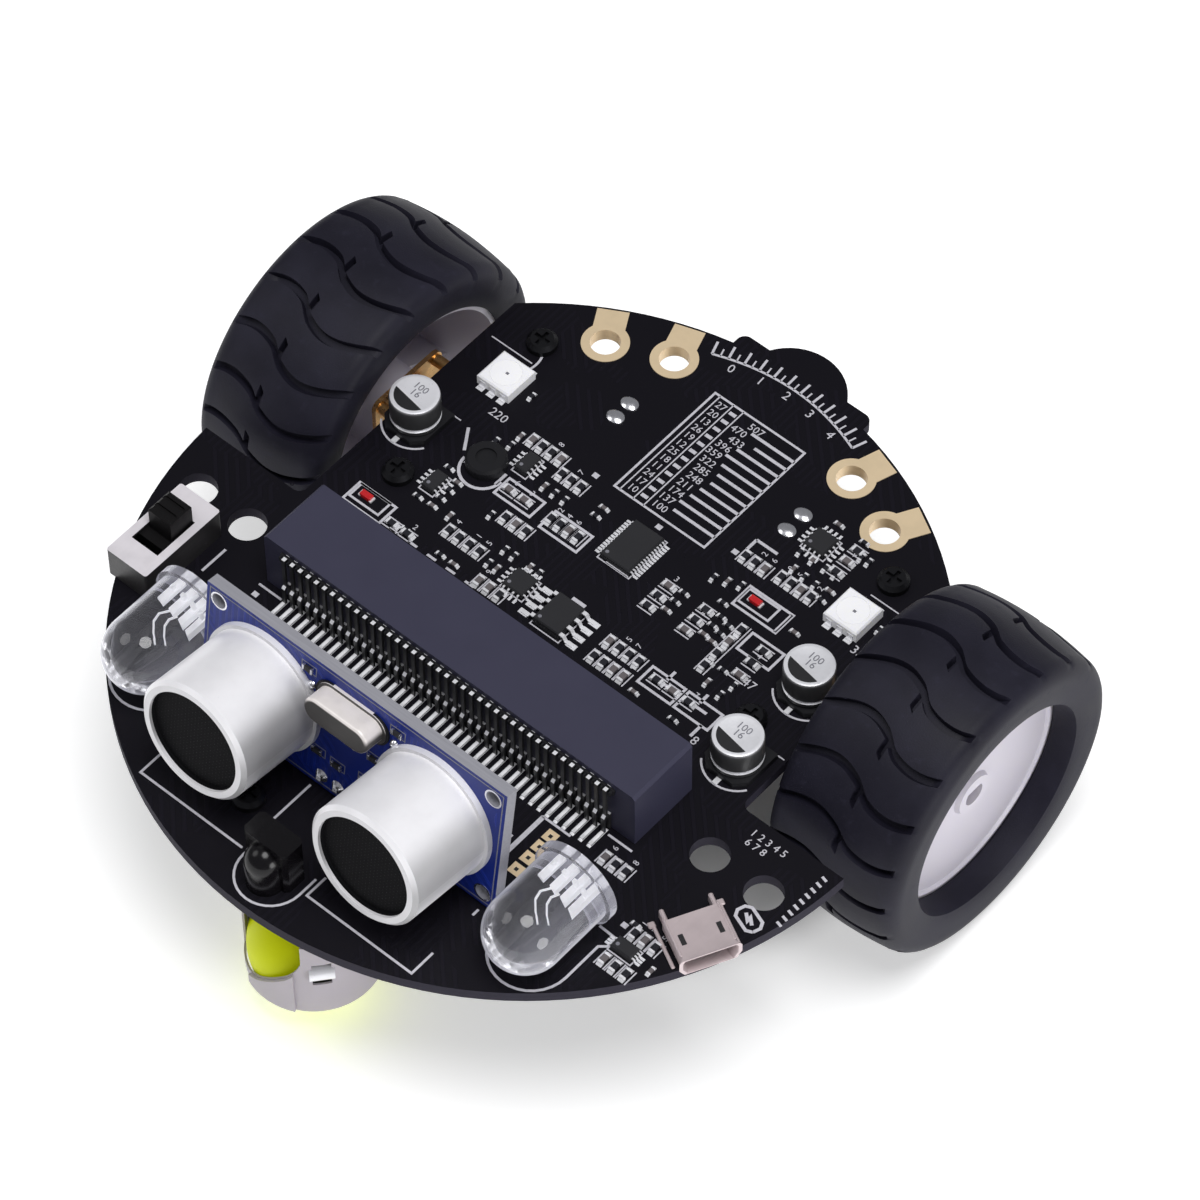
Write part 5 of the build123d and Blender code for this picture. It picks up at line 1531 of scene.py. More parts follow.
    def lights(self) -> None:
        """Adds the resin windows, dies and legs of the RGB lights, and the indicators' ends."""
        resin, dies, caps, spots = Shape(), Shape(), Shape(), []
        lift, radius = self.resin_lift, self.resin_radius
        for box in solids_of("rgb_leds"):
            x, y, floor = box.centre.x, box.centre.y, box.high.z - self.resin_depth
            dies.box((0.42, 0.36, 0.04), (x + 0.2, y, floor + lift + 0.09), 0.01)
            resin.lathe([(0, 0.02), (radius, 0.02), (radius, lift + 0.075), (radius - 0.26, lift + 0.08),
                         (0, lift + 0.09)], 40, shift(x, y, floor))
            spots += [Spot(box.foot + turned(end) @ Vector((k * self.light_leg_pitch, box.size.y / 2, 0)), end)
                      for end in (0, 180) for k in (-1, 0, 1)]
        for box in solids_of("indicator_leds"):
            for end in (-1, 1):
                caps.box((0.35, box.size.y + 0.1, 0.3),
                         (box.centre.x + end * (box.size.x / 2 + 0.05), box.centre.y, box.low.z + 0.15), 0.04)
        self.growers.repeat("light_legs", Shape().boxes(self.light_leg), spots, Finishes.tin)
        resin.piece("light_resin", Finishes.led_resin)
        dies.piece("light_dies", Finishes.grey_ink)
        caps.piece("indicator_ends", Finishes.tin)

    def capacitors(self) -> None:
        """Rebuilds the capacitor cans with their rolled bead and marked tops."""
        cans, marks, figures, feet = Shape(), Shape(), Shape(), Shape()
        for box in solids_of("capacitor_cans"):
            radius, tall, seat = box.size.x / 2, box.size.z, shift(*box.foot)
            cans.lathe([(0, 0), *((radius - inset, height) for inset, height in self.can_foot),
                        *((radius - inset, tall - drop) for inset, drop in self.can_rim),
                        (0, tall - self.can_rim[-1][1])], 64, seat)
            marks.prism(arc((0, 0), radius - self.can_flat, 192, 330, 23), tall - 0.07, tall - 0.03, seat)
            for text, rise in self.can_figures:
                figures.add(Lettering.figures(text), seat @ shift(0, rise, tall - 0.04))
        for box in solids_of("capacitor_bases"):
            for end in (-1, 1):
                feet.box((0.7, 1.3, 0.2), (box.centre.x, box.centre.y + end * (box.size.y / 2 + 0.3),
                                           box.low.z + 0.14), 0.05)
        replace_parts(cans.piece("capacitor_shells", Finishes.cap_can, slot="can_aluminium"), "capacitor_cans")
        marks.piece("capacitor_stripes", Finishes.black_ink)
        figures.piece("capacitor_figures", Finishes.grey_ink)
        feet.piece("capacitor_feet", Finishes.tin)

    def solder_blobs(self) -> None:
        """Adds the four free solder pads behind the chips."""
        blobs = Shape()
        for right, ahead in self.blob_places:
            blobs.lathe(self.blob, 28, self.datum.seat(right, ahead) @ scaled(1.0, 0.8, 1.0))
        blobs.piece("solder_pads", Finishes.solder)

    def vias(self) -> None:
        """Scatters plated vias over the free parts of the board."""
        area = Shape()
        for right, ahead, across, along in self.via_areas:
            place = self.datum.at(right, ahead, 0.004)
            area.mesh.faces.new(area.corners((*corner, place.z) for corner in rectangle(across / 2, along / 2, place)))
        via = Shape().ring(self.via_hole, self.via_radius, 0.0, 0.025, 12)
        sizes = {"Distance": self.via_gap * MM, "Density": self.via_density, "Seed": self.via_seed}
        made = self.growers.run(self.growers.scattered, "vias", via, Finishes.board, sizes, area.data("via_area"))
        fit("board_vias", made, Finishes.board)

    def header_pads(self) -> None:
        """Adds the four square plated holes beside the right-hand lamp."""
        pads, hole_shades = Shape(), Shape()
        hole, corner = self.pad_hole, self.pad_half * sqrt(2)
        for ahead in self.pad_places:
            seat = self.datum.seat(self.pad_right, ahead)
            pads.lathe([(hole, 0.0), (corner, 0.0), (corner, 0.05), (hole + 0.08, 0.07), (hole, 0.05)], 4,
                       seat @ turned(45), True)
            # Each hole is a black disc: painted shade in the hole.
            hole_shades.lathe([(0, 0.002), (hole, 0.002), (hole, 0.03), (0, 0.03)], 20, seat)
        pads.piece("header_pads", Finishes.gold)
        hole_shades.piece("header_holes", Finishes.black_ink)

    def build(self) -> None:
        """Builds every small part."""
        for part in (self.chips, self.packages, self.lights, self.capacitors, self.solder_blobs, self.vias,
                     self.header_pads):
            part()


@dataclass
class EdgeConnector(SubAssembly):
    """The ledge that the connector's leads come out through, and the solder under their ends."""

    count: int = 40
    pitch: float = 1.27
    pad_width: float = 0.54
    pad_length: float = 3.3
    pad_tall: float = 0.36
    pad_ahead: float = 36.85
    pad_course: tuple[Flat, ...] = ((-1.0, 0.1), (-0.86, 0.7), (0.0, 1.0), (0.86, 0.75), (1.0, 0.1))
    ledge_reach: float = 0.42
    ledge_tall: float = 0.9
    rib_width: float = 0.3
    rib_reach: float = 0.6
    lead_top: float = 8.23

    def ledge(self) -> None:
        """Adds the black ledge, with a rib between each two leads; its black also paints the shade on the housing's
        front face.
        """
        housing = Box.of("edge_connector_housing")
        reach, tall = self.ledge_reach, self.ledge_tall
        middle = Vector((housing.centre.x, housing.low.y - reach / 2, self.datum.top + self.lead_top - tall / 2))
        made = Shape().box((self.count * self.pitch + 0.6, reach, tall), middle, 0.08)
        for k in range(self.count + 1):
            offset = Vector(((k - self.count / 2) * self.pitch, -self.rib_reach / 2, 0))
            made.box((self.rib_width, self.rib_reach, tall * 0.8), middle + offset, 0.04)
        # The ledge's black plastic is darker than the housing: painted shade.
        made.piece("lead_ledge", Finishes.black_plastic)

    def foot(self) -> Shape:
        """One soldered foot, on its own origin.

        Returns:
            The foot.
        """
        foot, rings = Shape(), []
        half, ridge = self.pad_width / 2, self.pad_width * 0.2
        for share, lift in self.pad_course:
            y, z = share * self.pad_length / 2, self.pad_tall * lift
            rings.append(foot.corners((x, y, h) for x, h in (
                (-half, 0.0), (-half, z * 0.4), (-ridge, z), (ridge, z), (half, z * 0.4), (half, 0.0))))
        for first, second in zip(rings, rings[1:]):
            foot.skin(first, second)
        for ring in (rings[0], rings[-1]):
            foot.mesh.faces.new(ring)
        return foot

    def build(self) -> None:
        """Adds the ledge, and one soldered foot for each lead."""
        self.ledge()
        pitch, finish = self.pitch * MM, Finishes.foot_solder
        sizes = {"Count": self.count, "Pitch": pitch, "Start": -(self.count - 1) / 2 * pitch}
        made = self.growers.run(self.growers.in_row, "feet", self.foot(), finish, sizes)
        made.transform(Matrix.Translation(self.datum.at(0, self.pad_ahead) * MM))
        fit("contact_solder", made, finish)


@dataclass
class RangingModule(SubAssembly):
    """The blue ultrasonic module: woven screens, solder, pads and the crystal's seat.

    Chips in front are given as (right, up, turn), and packages behind as (right, up, across, along).
    """

    ahead: float = 50.9
    height: float = 10.4
    lean: float = 8.5
    thickness: float = 1.6
    eye_half: float = 13.0
    screen_radius: float = 6.62
    screen_rise: float = 11.25
    screen_pitch: float = 0.5
    screen_wire: float = 0.085
    throat_radius: float = 6.69
    throat_top: float = 11.9
    half_width: float = 22.75
    half_tall: float = 10.0
    border: float = 0.5
    corner_inset: float = 1.9
    corner_hole: float = 1.0
    crystal_rise: float = 5.9
    crystal_pad: float = 2.2
    rear_joint: tuple[Flat, ...] = ((1.0, 0), (0.8, -0.35), (0.35, -0.9), (0, -1.1))
    pin_joint: tuple[Flat, ...] = ((0.95, 0), (0.7, 0.25), (0.42, 0.5), (0, 0.62))
    crystal_joint: tuple[Flat, ...] = ((0.6, -0.05), (0.5, 0.25), (0.24, 0.5), (0, 0.55))
    pin_pitch: float = 2.54
    pin_rise: float = -8.25
    chip: Block = ((1.0, 0.72, 0.4), (0, 0, 0.22), 0.03)
    chip_end: Colour = (0.34, 0.78, 0.42)
    chip_frame: Flat = (1.1, 0.65)
    package_tall: float = 1.3
    package_leg: Colour = (0.9, 0.42, 0.2)
    chips: tuple[Colour, ...] = (
        (-4.6, -4.4, 0), (-1.6, -4.6, 0), (2.2, -4.2, 90), (4.6, -4.4, 90), (6.6, 7.6, 0), (-6.9, 7.8, 0),
        (0.2, 0.6, 0), (3.6, 0.8, 0), (-3.4, 0.6, 0))
    packages: tuple[tuple[float, ...], ...] = ((0, -3.2, 5.0, 3.9), (-10.5, 0.3, 3.9, 4.9), (10.5, 0.3, 3.9, 4.9))

    def seat(self, right: float = 0.0, up: float = 0.0, out: float = 0.0) -> Matrix:
        """From a place in the module's own frame, with +Z to the front and +Y up, to the row frame."""
        return (self.datum.seat(0, self.ahead, self.height) @ turned(90 - self.lean, "X")
                @ shift(right, up, out))

    def screens(self) -> None:
        """Weaves the screens and lays them over the dark discs."""
        pitch, radius, per = self.screen_pitch, self.screen_radius, 1 / MM
        sizes = {"Pitch": pitch * MM, "Radius": radius * MM, "Wire": self.screen_wire * MM,
                 "Wires": round(2 * (radius + pitch) / pitch)}
        for side in (-1, 1):
            name = f"{side_name(side)}_screen"
            made = self.growers.woven.grow(name, Finishes.weave, sizes)
            seat = self.seat(side * self.eye_half, 0, self.screen_rise)
            made.transform(scaled(MM, MM, MM) @ seat @ scaled(per, per, per))
            fit(name, made, Finishes.weave)

    def throats(self) -> None:
        """Lines each eye's throat with a dark band that paints the shade in the recess, up to just short of its rim.
        """
        shade_bands = Shape()
        for side in (-1, 1):
            shade_bands.ring(self.throat_radius - 0.1, self.throat_radius, self.screen_rise - 0.2, self.throat_top, 64,
                       self.seat(side * self.eye_half))
        shade_bands.piece("eye_throats", Finishes.mesh_back)

    def trims(self) -> None:
        """Adds the hole pads, pin solder, terminals and small parts on both faces."""
        tin, ink, chips = Shape(), Shape(), Shape()
        x, y = self.half_width - self.corner_inset, self.half_tall - self.corner_inset
        for side in (-1, 1):
            for end in (-1, 1):
                for level in (0.0, -self.thickness - 0.04):
                    tin.ring(self.corner_hole + 0.02, self.corner_hole + 0.24, level, level + 0.04, 24,
                             self.seat(side * x, end * y))
                tin.lathe(self.rear_joint, 16, self.seat(side * self.eye_half + end * 5.0, 0, -self.thickness))
        for k in range(4):
            tin.lathe(self.pin_joint, 16, self.seat((k - 1.5) * self.pin_pitch, self.pin_rise))
        for right, up, turn in self.chips:
            place = self.seat(right, up) @ turned(turn)
            chips.boxes([self.chip], place)
            tin.boxes(((self.chip_end, (end * 0.62, 0, 0.22), 0.04) for end in (-1, 1)), place)
            ink.line(rectangle(*self.chip_frame), 0.12, 0.03, 0.0, True, place)
        for right, up, across, along in self.packages:
            back = self.seat(right, up, -self.thickness) @ turned(180, "Y")
            chips.box((across, along, self.package_tall), (0, 0, self.package_tall / 2 + 0.1), 0.15, back)
            tin.boxes(((self.package_leg, (end * (across / 2 + 0.35), (k - 1.5) * 1.1, 0.15), 0.03)
                       for end in (-1, 1) for k in range(4)), back)
        ink.line(rectangle(self.half_width - self.border, self.half_tall - self.border), 0.14, 0.03, 0.0, True,
                 self.seat())
        tin.piece("module_solder", Finishes.solder)
        ink.piece("module_legend", Finishes.grey_ink)
        chips.piece("module_parts", Finishes.chip_black)

    def crystal_seat(self) -> None:
        """Adds the crystal's dark pad and its two pins."""
        pins, radius = Shape(), self.crystal_pad
        half = Box.of("sonar_crystal").size.x / 2 - radius + 0.35
        pad = Shape().prism(stadium(half, radius), 0.0, 0.3, self.seat(0, self.crystal_rise))
        for end in (-1, 1):
            pins.lathe(self.crystal_joint, 16, self.seat(end * (half + radius + 0.7), self.crystal_rise - 0.4))
        pad.piece("crystal_pad", Finishes.black_plastic)
        pins.piece("crystal_joints", Finishes.solder)

    def build(self) -> None:
        """Builds the module's fine parts."""
        for part in (self.screens, self.throats, self.trims, self.crystal_seat):
            part()


@dataclass
class Searchlights(SubAssembly):
    """The metal frames cast inside the two clear lamps: four blades and two fine wires."""

    side: float = 29.4
    back_ahead: float = 45.2
    axis: float = 5.62
    pitch: float = 1.27
    blade: float = 0.66
    blade_top: float = 0.85
    blade_tall: float = 0.75
    fin_top: float = 1.9
    blade_lengths: tuple[float, ...] = (3.7, 4.0, 4.3, 4.7)
    wire: float = 0.17
    wire_level: float = 1.2
    courses: tuple[tuple[Flat, ...], ...] = (
        ((0.3, 4.2), (0.0, 5.2), (0.2, 6.2), (0.9, 7.2), (1.7, 7.9)),
        ((-0.5, 4.2), (-1.0, 5.4), (-0.8, 6.6), (0.0, 7.8), (0.9, 8.6)),
    )

    def build(self) -> None:
        """Builds one leadframe in each lamp."""
        half, top, fin = self.blade / 2, self.blade_top, self.fin_top
        for side in (-1, 1):
            base = self.datum.seat(side * self.side, self.back_ahead, self.axis)
            metal = Shape()
            for k, length in enumerate(self.blade_lengths):
                x = (k - (len(self.blade_lengths) - 1) / 2) * self.pitch
                outline = [(x - half, -0.1), (x - half, -length), (x + half, -length - 0.35), (x + half, -0.1)]
                metal.prism(outline, top - self.blade_tall, top, base)
                metal.box((self.blade * 0.6, 0.6, fin - top), (x, -length * 0.45, (fin + top) / 2), 0.05, base)
            for course in self.courses:
                metal.line([(x, -ahead) for x, ahead in course], self.wire, self.wire, self.wire_level, seat=base)
            metal.piece(f"{side_name(side)}_leadframe", Finishes.frame_silver, crease=25)


@dataclass
class Tyre(SubAssembly):
    """A soft tyre with S-shaped grooves, built as one sector that is repeated round the axle.

    The course is a groove's middle, and the bends are angles on the two shoulders with how deep it is cut there.
    """

    side: int = 1
    phase: float = 5.3
    hub_radius: float = 15.6
    hub_inner_edge: float = 8.65
    hub_bead: float = 5.35
    opening: float = 14.5
    opening_edge: float = 0.5
    lip: float = 0.9
    shoulder: float = 2.2
    crown_drop: float = 0.6
    dish: float = 0.3
    grooves: int = 20
    depth: float = 1.2
    groove_half: float = 0.46
    wall: float = 0.14
    lug_round: float = 0.05
    notch_across: float = 0.7
    notch_half: float = 0.3
    notch_reach: float = 2.3
    gap: float = 0.03
    course: tuple[Flat, ...] = (
        (-9.5, -0.9), (-7.0, 0.5), (-4.6, 1.4), (-2.4, 1.55), (-0.1, 0.8), (1.0, 0.0), (2.2, -1.0), (4.6, -1.6),
        (6.8, -1.4), (9.0, -0.5), (9.5, -0.3))
    outer_bend: tuple[Flat, ...] = (
        (0, 0.0), (15, 0.0), (30, 0.0), (45, 0.0), (57, 0.12), (68, 0.5), (80, 0.85), (90, 1.0))
    inner_bend: tuple[Flat, ...] = (
        (90, 1.0), (104, 1.0), (118, 0.9), (132, 0.7), (146, 0.45), (160, 0.2), (180, 0.0))
    crown_steps: int = 26
    land_steps: int = 4
    crease: float = 32.0

    def sweep(self, across: float) -> float:
        """How far rearward a groove's middle lies round the wheel, on a smooth curve through the course.

        Args:
            across: distance outwards from the wheel's middle plane.

        Returns:
            The distance round the tread, in millimetres.
        """
        course = self.course
        across = max(course[0][0], min(course[-1][0], across))
        start = max(k for k in range(len(course) - 1) if course[k][0] <= across)
        (x0, y0), (x1, y1) = course[start], course[start + 1]
        before, after = course[max(start - 1, 0)], course[min(start + 2, len(course) - 1)]
        rise_in = (y1 - before[1]) / (x1 - before[0]) * (x1 - x0)
        rise_out = (after[1] - y0) / (after[0] - x0) * (x1 - x0)
        share = (across - x0) / (x1 - x0)
        ease = share * share * (3 - 2 * share)
        return (y0 + (y1 - y0) * ease + rise_in * share * (1 - share) ** 2
                - rise_out * share * share * (1 - share))

    def bend(self, turns: Sequence[Flat]) -> list[Colour]:
        """Places round a shoulder's centre, each with its share of the groove's depth."""
        return [(self.shoulder * cos(radians(turn)), self.shoulder * sin(radians(turn)), share)
                for turn, share in turns]

    def profile(self) -> list[Colour]:
        """The tyre's section as (across, radius, share of a groove's depth there), in a closed loop.

        Returns:
            The section's points, from the outer side of the bead round to its inner side.
        """
        box = Box.of(f"{side_name(self.side)}_tyre")
        half, top = box.size.x / 2, box.size.z / 2
        edge, flat = top - self.crown_drop, half - self.shoulder
        low, bow = edge - self.shoulder, (flat ** 2 + self.crown_drop ** 2) / (2 * self.crown_drop)
        seat, mouth, outer = self.hub_radius + self.gap, self.opening, half - self.dish
        rows = [(self.hub_bead + self.gap, seat, 0.0), (self.hub_bead + self.gap, mouth + 0.3, 0.0),
                (self.hub_bead + 0.4, mouth, 0.0), (outer - 0.3, mouth, 0.0), (outer - 0.07, mouth + 0.07, 0.0),
                (outer, mouth + 0.3, 0.0), (half - self.dish / 2, mouth + self.opening_edge + 0.3, 0.0),
                (half - 0.04, low - 1.6, 0.0), (half - 0.01, low - 0.5, 0.0)]
        rows += [(flat + x, low + z, share) for x, z, share in self.bend(self.outer_bend)]
        notch = (self.notch_across + self.notch_half, self.notch_across - self.notch_half)
        walls = [notch[0] + self.wall, notch[0], self.notch_across, notch[1], notch[1] - self.wall]
        steps = [flat - 2 * flat * k / self.crown_steps for k in range(1, self.crown_steps)]
        steps = [x for x in steps if min(abs(x - w) for w in walls) > 0.25]
        rows += [(x, top - bow + sqrt(bow * bow - x * x), 1.0) for x in sorted([*steps, *walls], reverse=True)]
        rows += [(x - flat, low + z, share) for x, z, share in self.bend(self.inner_bend)]
        inside = self.hub_radius - self.lip
        rows += [(-half, low - 1.4, 0.0), (-half + 0.12, inside + 0.5, 0.0), (-half + 0.4, inside, 0.0),
                 (-self.hub_inner_edge - self.gap, inside, 0.0), (-self.hub_inner_edge - self.gap, seat, 0.0)]
        return rows

    def cut(self, across: float, along: float) -> float:
        """How much of the full groove depth is cut at a place on the tread.

        Args:
            across: distance outwards from the middle plane.
            along: distance round the wheel from a groove's middle.

        Returns:
            A share from 0 to 1.
        """
        in_groove = abs(along) <= self.groove_half + 1e-6
        in_notch = (abs(across - self.notch_across) <= self.notch_half + 1e-6
                    and -self.notch_reach - 1e-6 <= along <= 0)
        if in_groove or in_notch:
            return 1.0
        return self.lug_round / self.depth if abs(along) <= self.groove_half + self.wall + 1e-6 else 0.0

    def sector(self) -> Shape:
        """One pitch of the tyre, about an axle on the X axis.

        Returns:
            The open band, from a notch's end to the next.
        """
        rows = self.profile()
        crown = max(radius for _, radius, _ in rows)
        pitch = 2 * pi * crown / self.grooves
        edge = self.groove_half + self.wall
        first = -self.notch_reach - self.wall
        stations = [first, -self.notch_reach, -(self.notch_reach + edge) / 2, -edge, -self.groove_half, 0.0,
                    self.groove_half, edge]
        rest = first + pitch - edge
        stations += [edge + rest * k / self.land_steps for k in range(1, self.land_steps + 1)]
        shape = Shape()
        rings = [shape.corners(self.corner(*row, along, crown) for row in rows) for along in stations]
        for first, second in zip(rings, rings[1:]):
            shape.skin(first, second)
        return shape

    def corner(self, across: float, radius: float, share: float, along: float, crown: float) -> Colour:
        """A place on the tyre's skin.

        Args:
            across: distance outwards from the middle plane.
            radius: the tyre's radius there.
            share: the share of a groove's depth there.
            along: distance round the wheel from a groove's middle.
            crown: the tyre's greatest radius.

        Returns:
            The place, about an axle on the X axis.
        """
        reach = radius - self.depth * share * self.cut(across, along)
        turn = (along + self.sweep(across)) / crown + radians(self.phase)
        return across, reach * sin(turn), reach * cos(turn)

    def build(self) -> None:
        """Builds the tyre in the place of the frame's simpler one."""
        name = side_name(self.side)
        made = self.growers.run(self.growers.round_axle, "tread", self.sector(), Finishes.rubber,
                                {"Count": self.grooves})
        welded = bmesh.new()
        welded.from_mesh(made)
        bmesh.ops.recalc_face_normals(welded, faces=welded.faces)
        welded.to_mesh(made)
        welded.free()
        made.set_sharp_from_angle(angle=radians(self.crease))
        middle = Box.of(f"{name}_hub").centre
        middle.x = Box.of(f"{name}_tyre").centre.x
        made.transform(shift(*(middle * MM)) @ turned(0 if self.side > 0 else 180))
        tyre = fit(f"{name}_tread_tyre", made, Finishes.rubber, f"{name}_wheel")
        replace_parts(tyre, f"{name}_tyre")


@dataclass
class ChargingSocket(SubAssembly):
    """The charging socket: a rolled steel shell with flared lips, shoulders, side tabs and a tongue."""

    right: float = 43.3
    ahead: float = 40.3
    turn: float = -27.5
    back: float = -3.1
    front: float = 2.25
    lip: float = 2.85
    flare: float = 1.09
    half: float = 3.5
    tall: float = 2.7
    wall: float = 0.88
    contacts: int = 5
    sides: tuple[Block, ...] = (
        ((2.0, 0.55, 1.5), (-3.9, 3.0, 1.75), 0.15), ((5.4, 0.3, 0.25), (-0.6, 3.25, 2.7), 0.1),
        ((6.4, 0.45, 0.3), (-1.5, 4.05, 0.16), 0.1), ((0.9, 0.9, 0.3), (-4.6, 4.2, 0.18), 0.12))
    slots: tuple[Block, ...] = (((1.5, 0.6, 0.08), (0.0, 2.32, 2.71), 0.02),)
    tongue: Block = ((3.6, 3.6, 0.6), (-0.4, 0, 1.45), 0.1)
    contact: Colour = (2.6, 0.36, 0.14)

    def shell(self) -> Shape:
        """Rolls the hollow shell, which widens at its mouth and stays just above the board.

        Returns:
            The shell, in the socket's own frame.
        """
        half, tall, middle = self.half, self.tall, self.tall / 2
        section = [(-half + 0.6, 0.0), (half - 0.6, 0.0), (half, 1.1), (half, tall - 0.4), (half - 0.3, tall),
                   (-half + 0.3, tall), (-half, tall - 0.4), (-half, 1.1)]
        made, rings = Shape(), []
        for shrink in (1.0, self.wall):
            for x, grow in ((self.back, 1.0), (self.front, 1.0), (self.lip, self.flare)):
                rings.append(made.corners((x, y * grow * shrink, max(0.01, middle + (z - middle) * grow * shrink))
                                          for y, z in section))
        for first, second in ((0, 1), (1, 2), (3, 4), (4, 5), (0, 3), (2, 5)):
            made.skin(rings[first], rings[second])
        return made

    def build(self) -> None:
        """Builds the shell with its shoulders and tabs, black marks that paint the shade in its slots and inside, and
        the tongue.
        """
        shell, shade_shape, tongue = self.shell(), Shape(), Shape()
        for made, blocks in ((shell, self.sides), (shade_shape, self.slots)):
            made.boxes((size, (x, side * y, z), edge) for side in (-1, 1) for size, (x, y, z), edge in blocks)
        # A black sheet at the back inside the shell: painted shade.
        shade_shape.box((0.2, 2 * self.half - 1.0, self.tall - 0.7), (self.back + 0.3, 0, self.tall / 2), 0.05)
        tongue.boxes([self.tongue])
        tongue.boxes((self.contact, (0.2, (k - self.contacts // 2) * 0.65, 1.12), 0.03)
                     for k in range(self.contacts))
        for shape in (shell, shade_shape, tongue):
            shape.move(self.datum.seat(self.right, self.ahead) @ turned(self.turn))
        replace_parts(shell.piece("socket_shell", Finishes.usb_steel, slot="plated_steel"), "usb_shell")
        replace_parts(tongue.piece("socket_tongue", Finishes.black_plastic, slot="black_plastic"), "usb_tongue")
        shade_shape.piece("socket_slots", Finishes.black_ink)


@dataclass
class CasterCage(SubAssembly):
    """The caster's cage: a wall round the ball with windows and roller slots, arms, a neck and a flange."""

    ahead: float = 58.9
    inner: float = 8.08
    outer: float = 8.34
    low: float = 5.4
    roof: float = 16.3
    top: float = 18.65
    arms: tuple[float, ...] = (50.0, 170.0, -70.0)
    arm_half: float = 16.5
    sill: tuple[Flat, ...] = (
        (-180.0, 13.0), (-90.0, 7.2), (-60.0, 6.4), (-24.0, 7.0), (-10.0, 8.2), (8.0, 10.4), (22.0, 12.2),
        (29.0, 13.6), (33.0, 15.0), (34.0, 16.3), (110.0, 16.3), (180.0, 13.0))
    slot_half: float = 8.0
    slot_low: float = 11.1
    slot_high: float = 15.2
    slot_shades: tuple[tuple[Flat, float, float], ...] = (((7.0, 7.1), 11.9, 16.2), ((7.72, 7.82), 10.3, 11.8))
    lobe: Flat = (-20.0, 27.0)
    lobe_outer: float = 8.78
    lobe_low: float = 5.6
    neck: float = 5.2
    flange: float = 2.0
    flange_half: float = 12.0
    flange_round: float = 6.5

    def off_arm(self, turn: float) -> float:
        """How far an angle is from the nearest arm."""
        return min(abs((turn - arm + 180.0) % 360.0 - 180.0) for arm in self.arms)

    def level(self, turn: float) -> float:
        """How high the wall stands at an angle, in degrees to the right of straight ahead.

        Args:
            turn: the angle.

        Returns:
            The height above the floor.
        """
        turn = (turn + 180.0) % 360.0 - 180.0
        off = self.off_arm(turn)
        if off < self.slot_half:
            return self.slot_low
        if off < self.arm_half and turn > -90.0 + self.arm_half:
            return self.roof
        for (start, a), (stop, b) in zip(self.sill, self.sill[1:]):
            if start <= turn <= stop:
                return a + (b - a) * (turn - start) / (stop - start)
        return self.roof

    @staticmethod
    def spot(radius: float, turn: float) -> Flat:
        """A place at an angle, in degrees to the right of straight ahead."""
        return radius * sin(radians(turn)), -radius * cos(radians(turn))

    def band(self, made: Shape, radii: Flat, turns: Sequence[float], low: float,
             level: Callable[[float], float]) -> None:
        """Adds a curved wall whose top rises and falls.

        Args:
            made: the shape that it joins.
            radii: its inner and outer radius.
            turns: the angles of its stations; a full turn closes it.
            low: its lower edge.
            level: the height of its top at an angle.
        """
        inner, outer = radii
        columns = [made.corners((*self.spot(radius, turn), z) for radius, z in (
            (inner, low), (outer, low), (outer, level(turn)), (inner, level(turn)))) for turn in turns]
        whole = turns[-1] - turns[0] > 350
        for first, second in zip(columns, columns[1:] + columns[:1] if whole else columns[1:]):
            made.skin(first, second)
        if not whole:
            for end in (columns[0], columns[-1]):
                made.mesh.faces.new(end)

    @staticmethod
    def across(middle: float, half: float) -> list[float]:
        """Stations from one side of an angle to the other."""
        return [middle + (k - 4) / 4 * half for k in range(9)]

    def build(self) -> None:
        """Builds the cage as one piece, and a black band behind each roller's slot that paints the shade in it."""
        made, shade_shape = Shape(), Shape()
        breaks = {(arm + side * near + slip) % 360 for arm in self.arms for near in (self.slot_half, self.arm_half)
                  for side in (-1, 1) for slip in (-0.05, 0.05)}
        turns = sorted({float(step) for step in range(0, 360, 3)} | breaks)
        self.band(made, (self.inner, self.outer), turns, self.low, self.level)
        for arm in self.arms:
            wide = self.across(arm, self.arm_half)
            self.band(made, (self.inner, self.outer), self.across(arm, self.slot_half + 0.4), self.slot_high,
                      lambda turn: self.roof)
            self.band(made, (self.neck - 1.0, self.outer), wide, self.roof, lambda turn: self.top)
            behind = self.across(arm, self.slot_half + 5.0)
            # Black bands behind each slot: painted shade.
            for radii, low, high in self.slot_shades:
                self.band(shade_shape, radii, behind, low, lambda turn: high)
        start, stop = self.lobe
        self.band(made, (self.outer - 0.1, self.lobe_outer), self.across((start + stop) / 2, (stop - start) / 2),
                  self.lobe_low, lambda turn: self.level(turn) - 0.15)
        top = self.datum.underside
        made.lathe([(0, self.roof), (self.neck, self.roof), (self.neck, top - self.flange),
                    (0, top - self.flange)], 60)
        made.prism(stadium(self.flange_half - self.flange_round, self.flange_round), top - self.flange, top - 0.01)
        for shape in (made, shade_shape):
            shape.move(shift(0, self.datum.axle_y - self.ahead, 0))
        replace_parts(made.piece("caster_cage", Finishes.cage, slot="caster_white"), "caster_housing")
        shade_shape.piece("caster_slots", Finishes.black_ink)


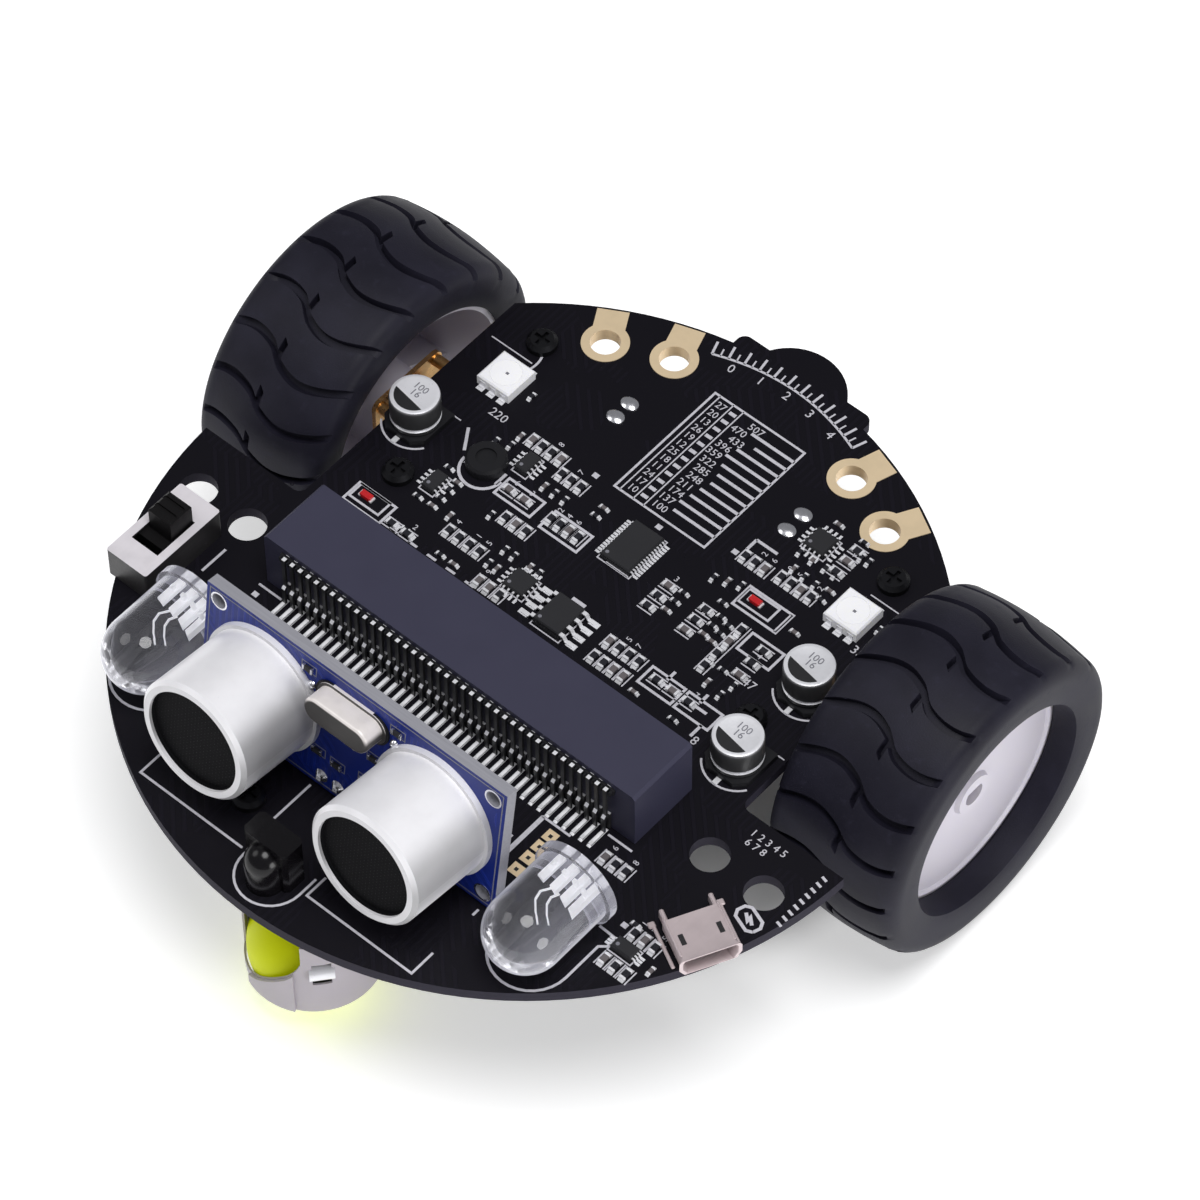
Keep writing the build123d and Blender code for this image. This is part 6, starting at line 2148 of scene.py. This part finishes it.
@dataclass
class Underside(SubAssembly):
    """Solder under the main board where leads come through it, in rows of (right, ahead, count, pitch)."""

    joint_radius: float = 0.75
    joint_tall: float = 0.7
    rows: tuple[tuple[float, float, int, float], ...] = (
        (0.0, 47.3, 4, 2.54), (-29.4, 43.9, 4, 1.27), (29.4, 43.9, 4, 1.27), (0.0, 64.6, 3, 2.0),
        (-12.0, -14.0, 2, 3.0), (12.0, -14.0, 2, 3.0))

    def build(self) -> None:
        """Adds the joints under their parts."""
        radius, tall, spots = self.joint_radius, self.joint_tall, []
        joint = Shape().lathe([(radius, 0), (radius * 0.8, -tall * 0.4), (radius * 0.4, -tall * 0.9), (0, -tall)], 16)
        for right, ahead, count, pitch in self.rows:
            stretch = min(1.0, pitch / 2 / radius)
            for k in range(count):
                place = self.datum.at(right + (k - (count - 1) / 2) * pitch, ahead)
                place.z = self.datum.underside
                spots.append(Spot(place, 0, (stretch, stretch, 1.0)))
        self.growers.repeat("underside_joints", joint, spots, Finishes.solder)


@dataclass
class Studio:
    """The floor, the lights and the camera."""

    azimuth: float = 41.60
    elevation: float = 53.85
    roll: float = -0.69
    camera_place: tuple[float, float, float] = (282.5, -308.1, 604.8)
    lens: float = 182.53
    floor_half: float = 2500.0
    floor_thick: float = 20.0
    lights: tuple[tuple[str, tuple[float, float, float], float, float], ...] = (
        ("key", (160.0, -60.0, 820.0), 460.0, 4.0),
        ("left", (-520.0, -330.0, 620.0), 420.0, 1.0),
        ("side", (820.0, -90.0, 170.0), 420.0, 2.6),
    )

    def camera(self) -> None:
        """Places the camera."""
        turn, rise = radians(self.azimuth), radians(self.elevation)
        back = Vector((sin(turn) * cos(rise), -cos(turn) * cos(rise), sin(rise)))
        data = bpy.data.cameras.new("view")
        data.sensor_width = 36.0
        data.lens = self.lens
        data.clip_start, data.clip_end = 0.01, 20.0
        made = bpy.data.objects.new("view", data)
        made.rotation_mode = "QUATERNION"
        made.rotation_quaternion = back.to_track_quat("Z", "Y") @ Quaternion((0, 0, 1), radians(self.roll))
        made.location = Vector(self.camera_place) * MM
        bpy.context.scene.collection.objects.link(made)
        bpy.context.scene.camera = made

    def floor(self) -> None:
        """Lays a round pale floor."""
        shape = Shape()
        shape.lathe([(0, -0.02), (self.floor_half, -0.02), (self.floor_half, -self.floor_thick),
                     (0, -self.floor_thick)], 64)
        mesh = shape.data("floor")
        mesh.materials.append(Backdrop("floor_paper", (0.9, 0.9, 0.9), 0.9, 0.1).material())
        made = bpy.data.objects.new("floor", mesh)
        bpy.context.scene.collection.objects.link(made)

    def lamps(self) -> None:
        """Hangs the soft lights and sets the surrounding light."""
        for name, place, size, power in self.lights:
            data = bpy.data.lights.new(name, "AREA")
            data.shape = "DISK"
            data.size = size * MM
            data.energy = power
            made = bpy.data.objects.new(name, data)
            made.location = Vector(place) * MM
            made.rotation_mode = "QUATERNION"
            made.rotation_quaternion = made.location.to_track_quat("Z", "Y")
            bpy.context.scene.collection.objects.link(made)
        world = bpy.data.worlds.new("room")
        world.use_nodes = True
        room = world.node_tree.nodes["Background"]
        room.inputs["Color"].default_value = (0.95, 0.96, 1.0, 1.0)
        room.inputs["Strength"].default_value = 0.24
        bpy.context.scene.world = world

    def build(self) -> None:
        """Sets the stage."""
        self.camera()
        self.floor()
        self.lamps()
        bpy.context.scene.view_settings.view_transform = "Standard"


def main() -> None:
    """Builds the sub-assemblies in order."""
    logging.basicConfig(level=logging.INFO, format="%(name)s %(message)s")
    datum = Datum.read()
    growers = Growers()
    Studio().build()
    log.info("frame nodes dressed: %d", Finishes.dress_frame())
    parts: list[SubAssembly] = [kind(datum, growers) for kind in (
        Legend, SurfaceParts, EdgeConnector, RangingModule, Searchlights)]
    parts += [Tyre(datum, growers, side) for side in (1, -1)]
    parts += [kind(datum, growers) for kind in (ChargingSocket, CasterCage, Underside)]
    for part in parts:
        log.info("building %s", type(part).__name__)
        part.build()


if __name__ == "__main__":
    main()
